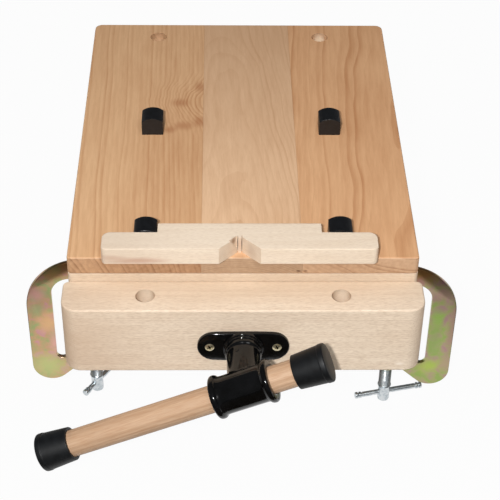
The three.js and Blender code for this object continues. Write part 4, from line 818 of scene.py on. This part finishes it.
handle_tilt = math.degrees(math.atan2(handle_axis[2], handle_axis[0]))
wood["handle"] = beech("oiled beech, handle", "#c9a88a", "#a17f62", pith=(0, hub_middle[1] / MM + 40, -30),
                       turn=(handle_tilt, 0, -90), year=2.6, bend=5, lines=0.35, streaks=0.35, **{**OILED, "rays": 0.35})
bar_middle = middle("handle_bar")
bar_half = np.linalg.norm([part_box("handle_bar")[1].x - bar_middle[0], 0]) / MM
bar_half = (bar_half - HANDLE_RADIUS * abs(handle_axis[2])) / abs(handle_axis[0])
bar_profile = eased([(0, -bar_half), (HANDLE_RADIUS, -bar_half), (HANDLE_RADIUS, bar_half), (0, bar_half)],
                    [0, 1.5, 1.5, 0])
shaped("handle_bar_turned", [turned(bar_profile, bar_middle, handle_axis)], wood["handle"], ["handle_bar"])

CAP_SOCKET = 28.0
cap_floor = CAP_SOCKET + 0.3
cap_profile = eased([(HANDLE_RADIUS + 0.3, cap_floor), (HANDLE_RADIUS + 0.3, 0), (CAP_MOUTH, 0),
                     (CAP_END - 0.5, CAP_LENGTH - CAP_RIM), (CAP_END, CAP_LENGTH - CAP_RIM + 0.4),
                     (CAP_END, CAP_LENGTH - 1.2), (CAP_END * 0.6, CAP_LENGTH), (0, CAP_LENGTH), (0, cap_floor)],
                    [0, 0.5, 1.0, 0.3, 0.5, 1.6, 3.0, 0, 0])
for side, way in (("left", -1), ("right", 1)):
    mouth = bar_middle + way * (bar_half - CAP_SOCKET) * MM * handle_axis
    shaped(f"handle_cap_{side}_moulded", [turned(np.concatenate([cap_profile, cap_profile[:1]]), mouth, way * handle_axis)],
           black_rubber, [f"handle_cap_{side}"])
print("handle half length:", round(bar_half, 1), "mm")

# %% [markdown]
# ## Screw threads
# A thread is a ridge that climbs one pitch each turn. On a grid of turns and heights, the radius at a point depends
# only on fract(height / pitch - turn): a triangle wave with a flat crest. Fading the wave to nothing at both ends
# gives the runout that a die leaves.

# %% Threaded rods


def threaded(radius, depth, pitch, low, high, base, axis, per_turn=8, steps=28):
    """radius - depth * wave, with wave = clip(1.5 * |2 fract(along / pitch - turn) - 1| - 0.25, 0, 1)."""
    rows = int((high - low) / pitch * per_turn)
    along = np.linspace(low, high, rows)
    turns = np.arange(steps) / steps
    phase = along[:, None] / pitch - turns
    wave = np.clip(1.5 * np.abs(2 * (phase - np.floor(phase)) - 1) - 0.25, 0, 1)
    fade = np.clip(np.minimum(along - low, high - along) / pitch, 0, 1)[:, None]
    ring_radius = radius - depth * wave * fade
    axis = unit(axis)
    side = unit(np.cross(axis, (0.31, 0.17, 0.93)))
    angles = 2 * np.pi * turns[:, None]
    circle = np.cos(angles) * side + np.sin(angles) * np.cross(axis, side)
    return np.asarray(base) + (along[:, None, None] * axis + ring_radius[..., None] * circle) * MM


def rod_with_ends(body, first, last):
    """A threaded body between two turned ends, given as their grids from axis to rim and from rim to axis."""
    return np.concatenate([first, body, last])


VISE_SCREW_RADIUS = 10.0
VISE_THREAD = (1.6, 5.0)
screw_low, screw_high = (corner.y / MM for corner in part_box("vise_screw"))
spigot_end = (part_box("vise_hub")[1].y + 0.0003) / MM
thread_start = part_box("retaining_clip")[1].y / MM + 2
thread_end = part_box("guide_yoke")[0].y / MM - 1
front_profile = eased([(0, screw_low), (8, screw_low), (8, spigot_end), (VISE_SCREW_RADIUS, spigot_end),
                       (VISE_SCREW_RADIUS, thread_start)], [0, 0.6, 0, 0.4, 0])
tail_profile = eased([(VISE_SCREW_RADIUS, thread_end), (6, thread_end + 0.6), (6, screw_high), (0, screw_high)],
                     [0, 0.4, 0.8, 0])
vise_rod = rod_with_ends(threaded(VISE_SCREW_RADIUS, *VISE_THREAD, thread_start, thread_end, vise_axis, back),
                         turned(front_profile, vise_axis, back, steps=28),
                         turned(tail_profile, vise_axis, back, steps=28))
shaped("vise_screw_threaded", [vise_rod], blue_zinc, ["vise_screw"])
print("vise thread:", round(thread_end - thread_start), "mm long")

# %% [markdown]
# ## Guide bars and nut
# Under the bench, two ground bars keep the jaw square. They run in flanged bushes and are tied together by a yoke
# behind the nut. Bars and bushes are turned profiles. The yoke, its nuts and the cast vise nut keep their solids'
# shapes, with eased rims.

# %% Guides below the worktop
GUIDE_RADIUS = 9.0
GUIDE_SPIGOT = 5.0
BUSH_RADII = (9.3, 12.0, 16.0)

yoke_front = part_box("guide_yoke")[0].y / MM
for side in ("left", "right"):
    guide_line = middle(f"guide_bar_{side}") * (1, 0, 1)
    bar_front, bar_back = (corner.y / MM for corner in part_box(f"guide_bar_{side}"))
    guide_profile = eased([(0, bar_front), (GUIDE_RADIUS, bar_front), (GUIDE_RADIUS, yoke_front - 0.05),
                           (GUIDE_SPIGOT, yoke_front - 0.05), (GUIDE_SPIGOT, bar_back), (0, bar_back)],
                          [0, 0.8, 0.6, 0, 0.8, 0])
    shaped(f"guide_bar_{side}_turned", [turned(guide_profile, guide_line, back, steps=40)], blue_zinc,
           [f"guide_bar_{side}"])
    bush_front, bush_back = (corner.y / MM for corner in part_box(f"guide_bush_{side}"))
    bore, sleeve, flange = BUSH_RADII
    bush_profile = eased([(bore, bush_front), (sleeve, bush_front), (sleeve, bush_back - 3), (flange, bush_back - 3),
                          (flange, bush_back), (bore, bush_back)], [0.3, 0.5, 0, 0.5, 0.8, 0.5])
    shaped(f"guide_bush_{side}_moulded", [turned(bush_profile, guide_line, back, steps=40)], black_nylon,
           [f"guide_bush_{side}"], ring=True)
    softened(f"yoke_nut_{side}", 0.5, blue_zinc)
softened("guide_yoke", 0.6, blue_zinc)
softened("vise_nut", 0.8, bare_iron)
print("guides at x =", round(guide_line[0] / MM, 1), "mm")

# %% [markdown]
# ## G-clamps
# Each clamp is a flat steel hook with a threaded boss, a screw with a loose pad on its tip and a bar through its
# head to turn it. The hook's outline is straight runs between arcs, and its section, two faces with eased rims,
# is carried round that outline.

# %% Clamp hooks
HOOK_RIM = 0.8
HOOK_BACK = 28.3
HOOK_ARM = 25.3
HOOK_OUTER_ROUND = 66.0
HOOK_INNER_ROUND = 22.0
HOOK_THROAT = 116.3
HOOK_LOWER = 24.0
HOOK_RISE = math.radians(31)
HOOK_HEEL = 21.0
HOOK_TOE = 6.0
BOSS_SINK = 1.0


def arc(centre, radius, start, end, steps):
    """Points on a circle from one angle to another."""
    angles = np.linspace(start, end, steps)
    return np.stack([centre[0] + radius * np.cos(angles), centre[1] + radius * np.sin(angles)], -1)


def hook_outline(outer, arm_top, arm_end, boss_side, boss_low, boss_high):
    """The hook in (x, z), with x away from the bench: lower arm, heel, back, shoulder and upper arm.

    The lower arm's edge is the tangent from the boss to the heel's circle, at angle + acos(radius / distance)."""
    inner = outer - HOOK_BACK
    arm_low = arm_top - HOOK_ARM
    toe = np.array((inner - HOOK_TOE, arm_low - HOOK_THROAT + HOOK_TOE))
    heel_x = outer - HOOK_HEEL
    drop = (HOOK_TOE + HOOK_LOWER - HOOK_HEEL) / math.cos(HOOK_RISE)
    heel = np.array((heel_x, toe[1] - drop - (heel_x - toe[0]) * math.tan(HOOK_RISE)))
    from_heel = np.array((boss_side, boss_low)) - heel
    tangent = math.atan2(from_heel[1], from_heel[0]) + math.acos(HOOK_HEEL / np.linalg.norm(from_heel))
    return np.concatenate([
        [(boss_side, boss_high), (boss_side, boss_low)],
        arc(heel, HOOK_HEEL, tangent - 2 * math.pi, 0, 14),
        arc((outer - HOOK_OUTER_ROUND, arm_top - HOOK_OUTER_ROUND), HOOK_OUTER_ROUND, 0, math.pi / 2, 24),
        [(arm_end, arm_top), (arm_end, arm_low)],
        arc((inner - HOOK_INNER_ROUND, arm_low - HOOK_INNER_ROUND), HOOK_INNER_ROUND, math.pi / 2, 0, 14),
        arc(toe, HOOK_TOE, 0, -math.pi / 2 - HOOK_RISE, 10),
    ])


def rimmed(outline, thickness, rim):
    """Rings of an outline through a plate: each ring is drawn in by rim * (1 - sin turn) at rim * (1 - cos turn)."""
    along = unit(np.roll(outline, -1, 0) - np.roll(outline, 1, 0))
    outward = np.stack([along[:, 1], -along[:, 0]], -1)
    inset = rim * (1 - np.sin(RIM_TURNS))
    level = rim * (1 - np.cos(RIM_TURNS))
    insets = np.concatenate([inset, inset[::-1]])
    levels = np.concatenate([level, thickness - level[::-1]])
    return outline - insets[:, None, None] * outward, levels


for side, way in (("left", -1), ("right", 1)):
    low, high = (np.array(corner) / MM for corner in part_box(f"clamp_hook_{side}"))
    boss_low, boss_high = (np.array(corner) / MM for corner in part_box(f"clamp_boss_{side}"))
    reach = sorted(abs(value) for value in (low[0], high[0]))
    boss_side = max(abs(boss_low[0]), abs(boss_high[0])) - BOSS_SINK
    outline = hook_outline(reach[1], high[2], reach[0], boss_side, boss_low[2], boss_high[2])
    flat, levels = rimmed(outline, high[1] - low[1], HOOK_RIM)
    hook = np.stack([way * flat[..., 0], np.broadcast_to((low[1] + levels)[:, None], flat.shape[:2]), flat[..., 1]], -1)
    shaped(f"clamp_hook_{side}_plated", [hook * MM], yellow_zinc[side], [f"clamp_hook_{side}"], capped=True)
print("hook reaches", np.round(reach, 1), "mm from the middle")

# %% [markdown]
# The boss, pad and bar are turned. The screw is a metric thread of 2 mm pitch with a plain head below, and its
# tip turns in the pad. Two rolled rings at each end keep the bar in the head.

# %% Clamp screws
BOSS_RADII = (7.3, 11.5)
PAD_RADIUS = 13.0
PAD_SOCKET = (4.3, 5.0)
CLAMP_SCREW = {"radius": 7.0, "depth": 1.3, "pitch": 2.0}
CLAMP_HEAD = (6.7, 22.0)
CLAMP_TIP = (4.0, 5.0)
TOMMY_RADIUS = 3.0
TOMMY_RINGS = ((3.8, 0.0, 3.2), (2.4, 3.4, 4.6), (3.7, 4.8, 7.0), (2.4, 7.2, 8.4))
TOMMY_HALF = 40.0
up = np.array((0.0, 0.0, 1.0))

for side in ("left", "right"):
    line = middle(f"clamp_boss_{side}") * (1, 1, 0)
    boss_low, boss_high = (corner.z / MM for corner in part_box(f"clamp_boss_{side}"))
    bore, wall = BOSS_RADII
    boss_profile = eased([(bore, boss_low), (wall, boss_low), (wall, boss_high), (bore, boss_high)], [0.8, 1.0, 1.0, 0.8])
    shaped(f"clamp_boss_{side}_plated", [turned(boss_profile, line, up, steps=48)], yellow_zinc[side],
           [f"clamp_boss_{side}"], ring=True)
    pad_low, pad_high = (corner.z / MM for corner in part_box(f"clamp_pad_{side}"))
    socket, socket_depth = PAD_SOCKET
    pad_profile = eased([(0, pad_low + socket_depth), (socket, pad_low + socket_depth), (socket, pad_low), (10.5, pad_low),
                         (PAD_RADIUS, pad_high - 4), (PAD_RADIUS, pad_high), (0, pad_high)],
                        [0, 0, 0.4, 1.5, 1.5, 0.8, 0])
    shaped(f"clamp_pad_{side}_plated", [turned(np.concatenate([pad_profile, pad_profile[:1]]), line, up, steps=48)],
           yellow_zinc[side], [f"clamp_pad_{side}"])
    end, tip = (corner.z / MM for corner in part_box(f"clamp_screw_{side}"))
    head_radius, head_length = CLAMP_HEAD
    tip_radius, tip_length = CLAMP_TIP
    radius = CLAMP_SCREW["radius"]
    head = eased([(0, end), (head_radius, end), (head_radius, end + head_length), (radius, end + head_length)],
                 [0, 1.2, 1.0, 0])
    point = eased([(radius, tip - tip_length), (tip_radius, tip - tip_length), (tip_radius, tip), (0, tip)],
                  [0.8, 0, 0.5, 0])
    rod = rod_with_ends(threaded(**CLAMP_SCREW, low=end + head_length, high=tip - tip_length, base=line, axis=up),
                        turned(head, line, up, steps=28), turned(point, line, up, steps=28))
    shaped(f"clamp_screw_{side}_threaded", [rod], blue_zinc, [f"clamp_screw_{side}"])
    half_tommy = [(TOMMY_RADIUS, TOMMY_HALF - 8.6)]
    half_tommy += [(r, TOMMY_HALF - edge) for r, near, far in reversed(TOMMY_RINGS) for edge in (far, near)]
    tommy_corners = [(0, -TOMMY_HALF)] + [(r, -a) for r, a in reversed(half_tommy)] + half_tommy + [(0, TOMMY_HALF)]
    tommy_rounds = [0, 1.0] + [0.1] * (len(tommy_corners) - 4) + [1.0, 0]
    tommy_profile = eased(tommy_corners, tommy_rounds)
    tommy_axis = np.array(joints[f"{side}_tommy_slide"]["axis"])
    shaped(f"clamp_tommy_{side}_turned", [turned(tommy_profile, middle(f"clamp_tommy_{side}"), tommy_axis, steps=32)],
           blue_zinc, [f"clamp_tommy_{side}"])
print("clamp screws end at", round(end, 1), "mm")

# %% [markdown]
# ## Small fasteners
# The wood screws, pins and the clip are right as solids. They keep their meshes and get their plating.

# %% Fasteners
left_as_solids = [node for node in frame["nodes"].values() if not node.hide_render]
for node in left_as_solids:
    node.data.materials.clear()
    node.data.materials.append(blue_zinc)
print("solids kept:", len(left_as_solids))
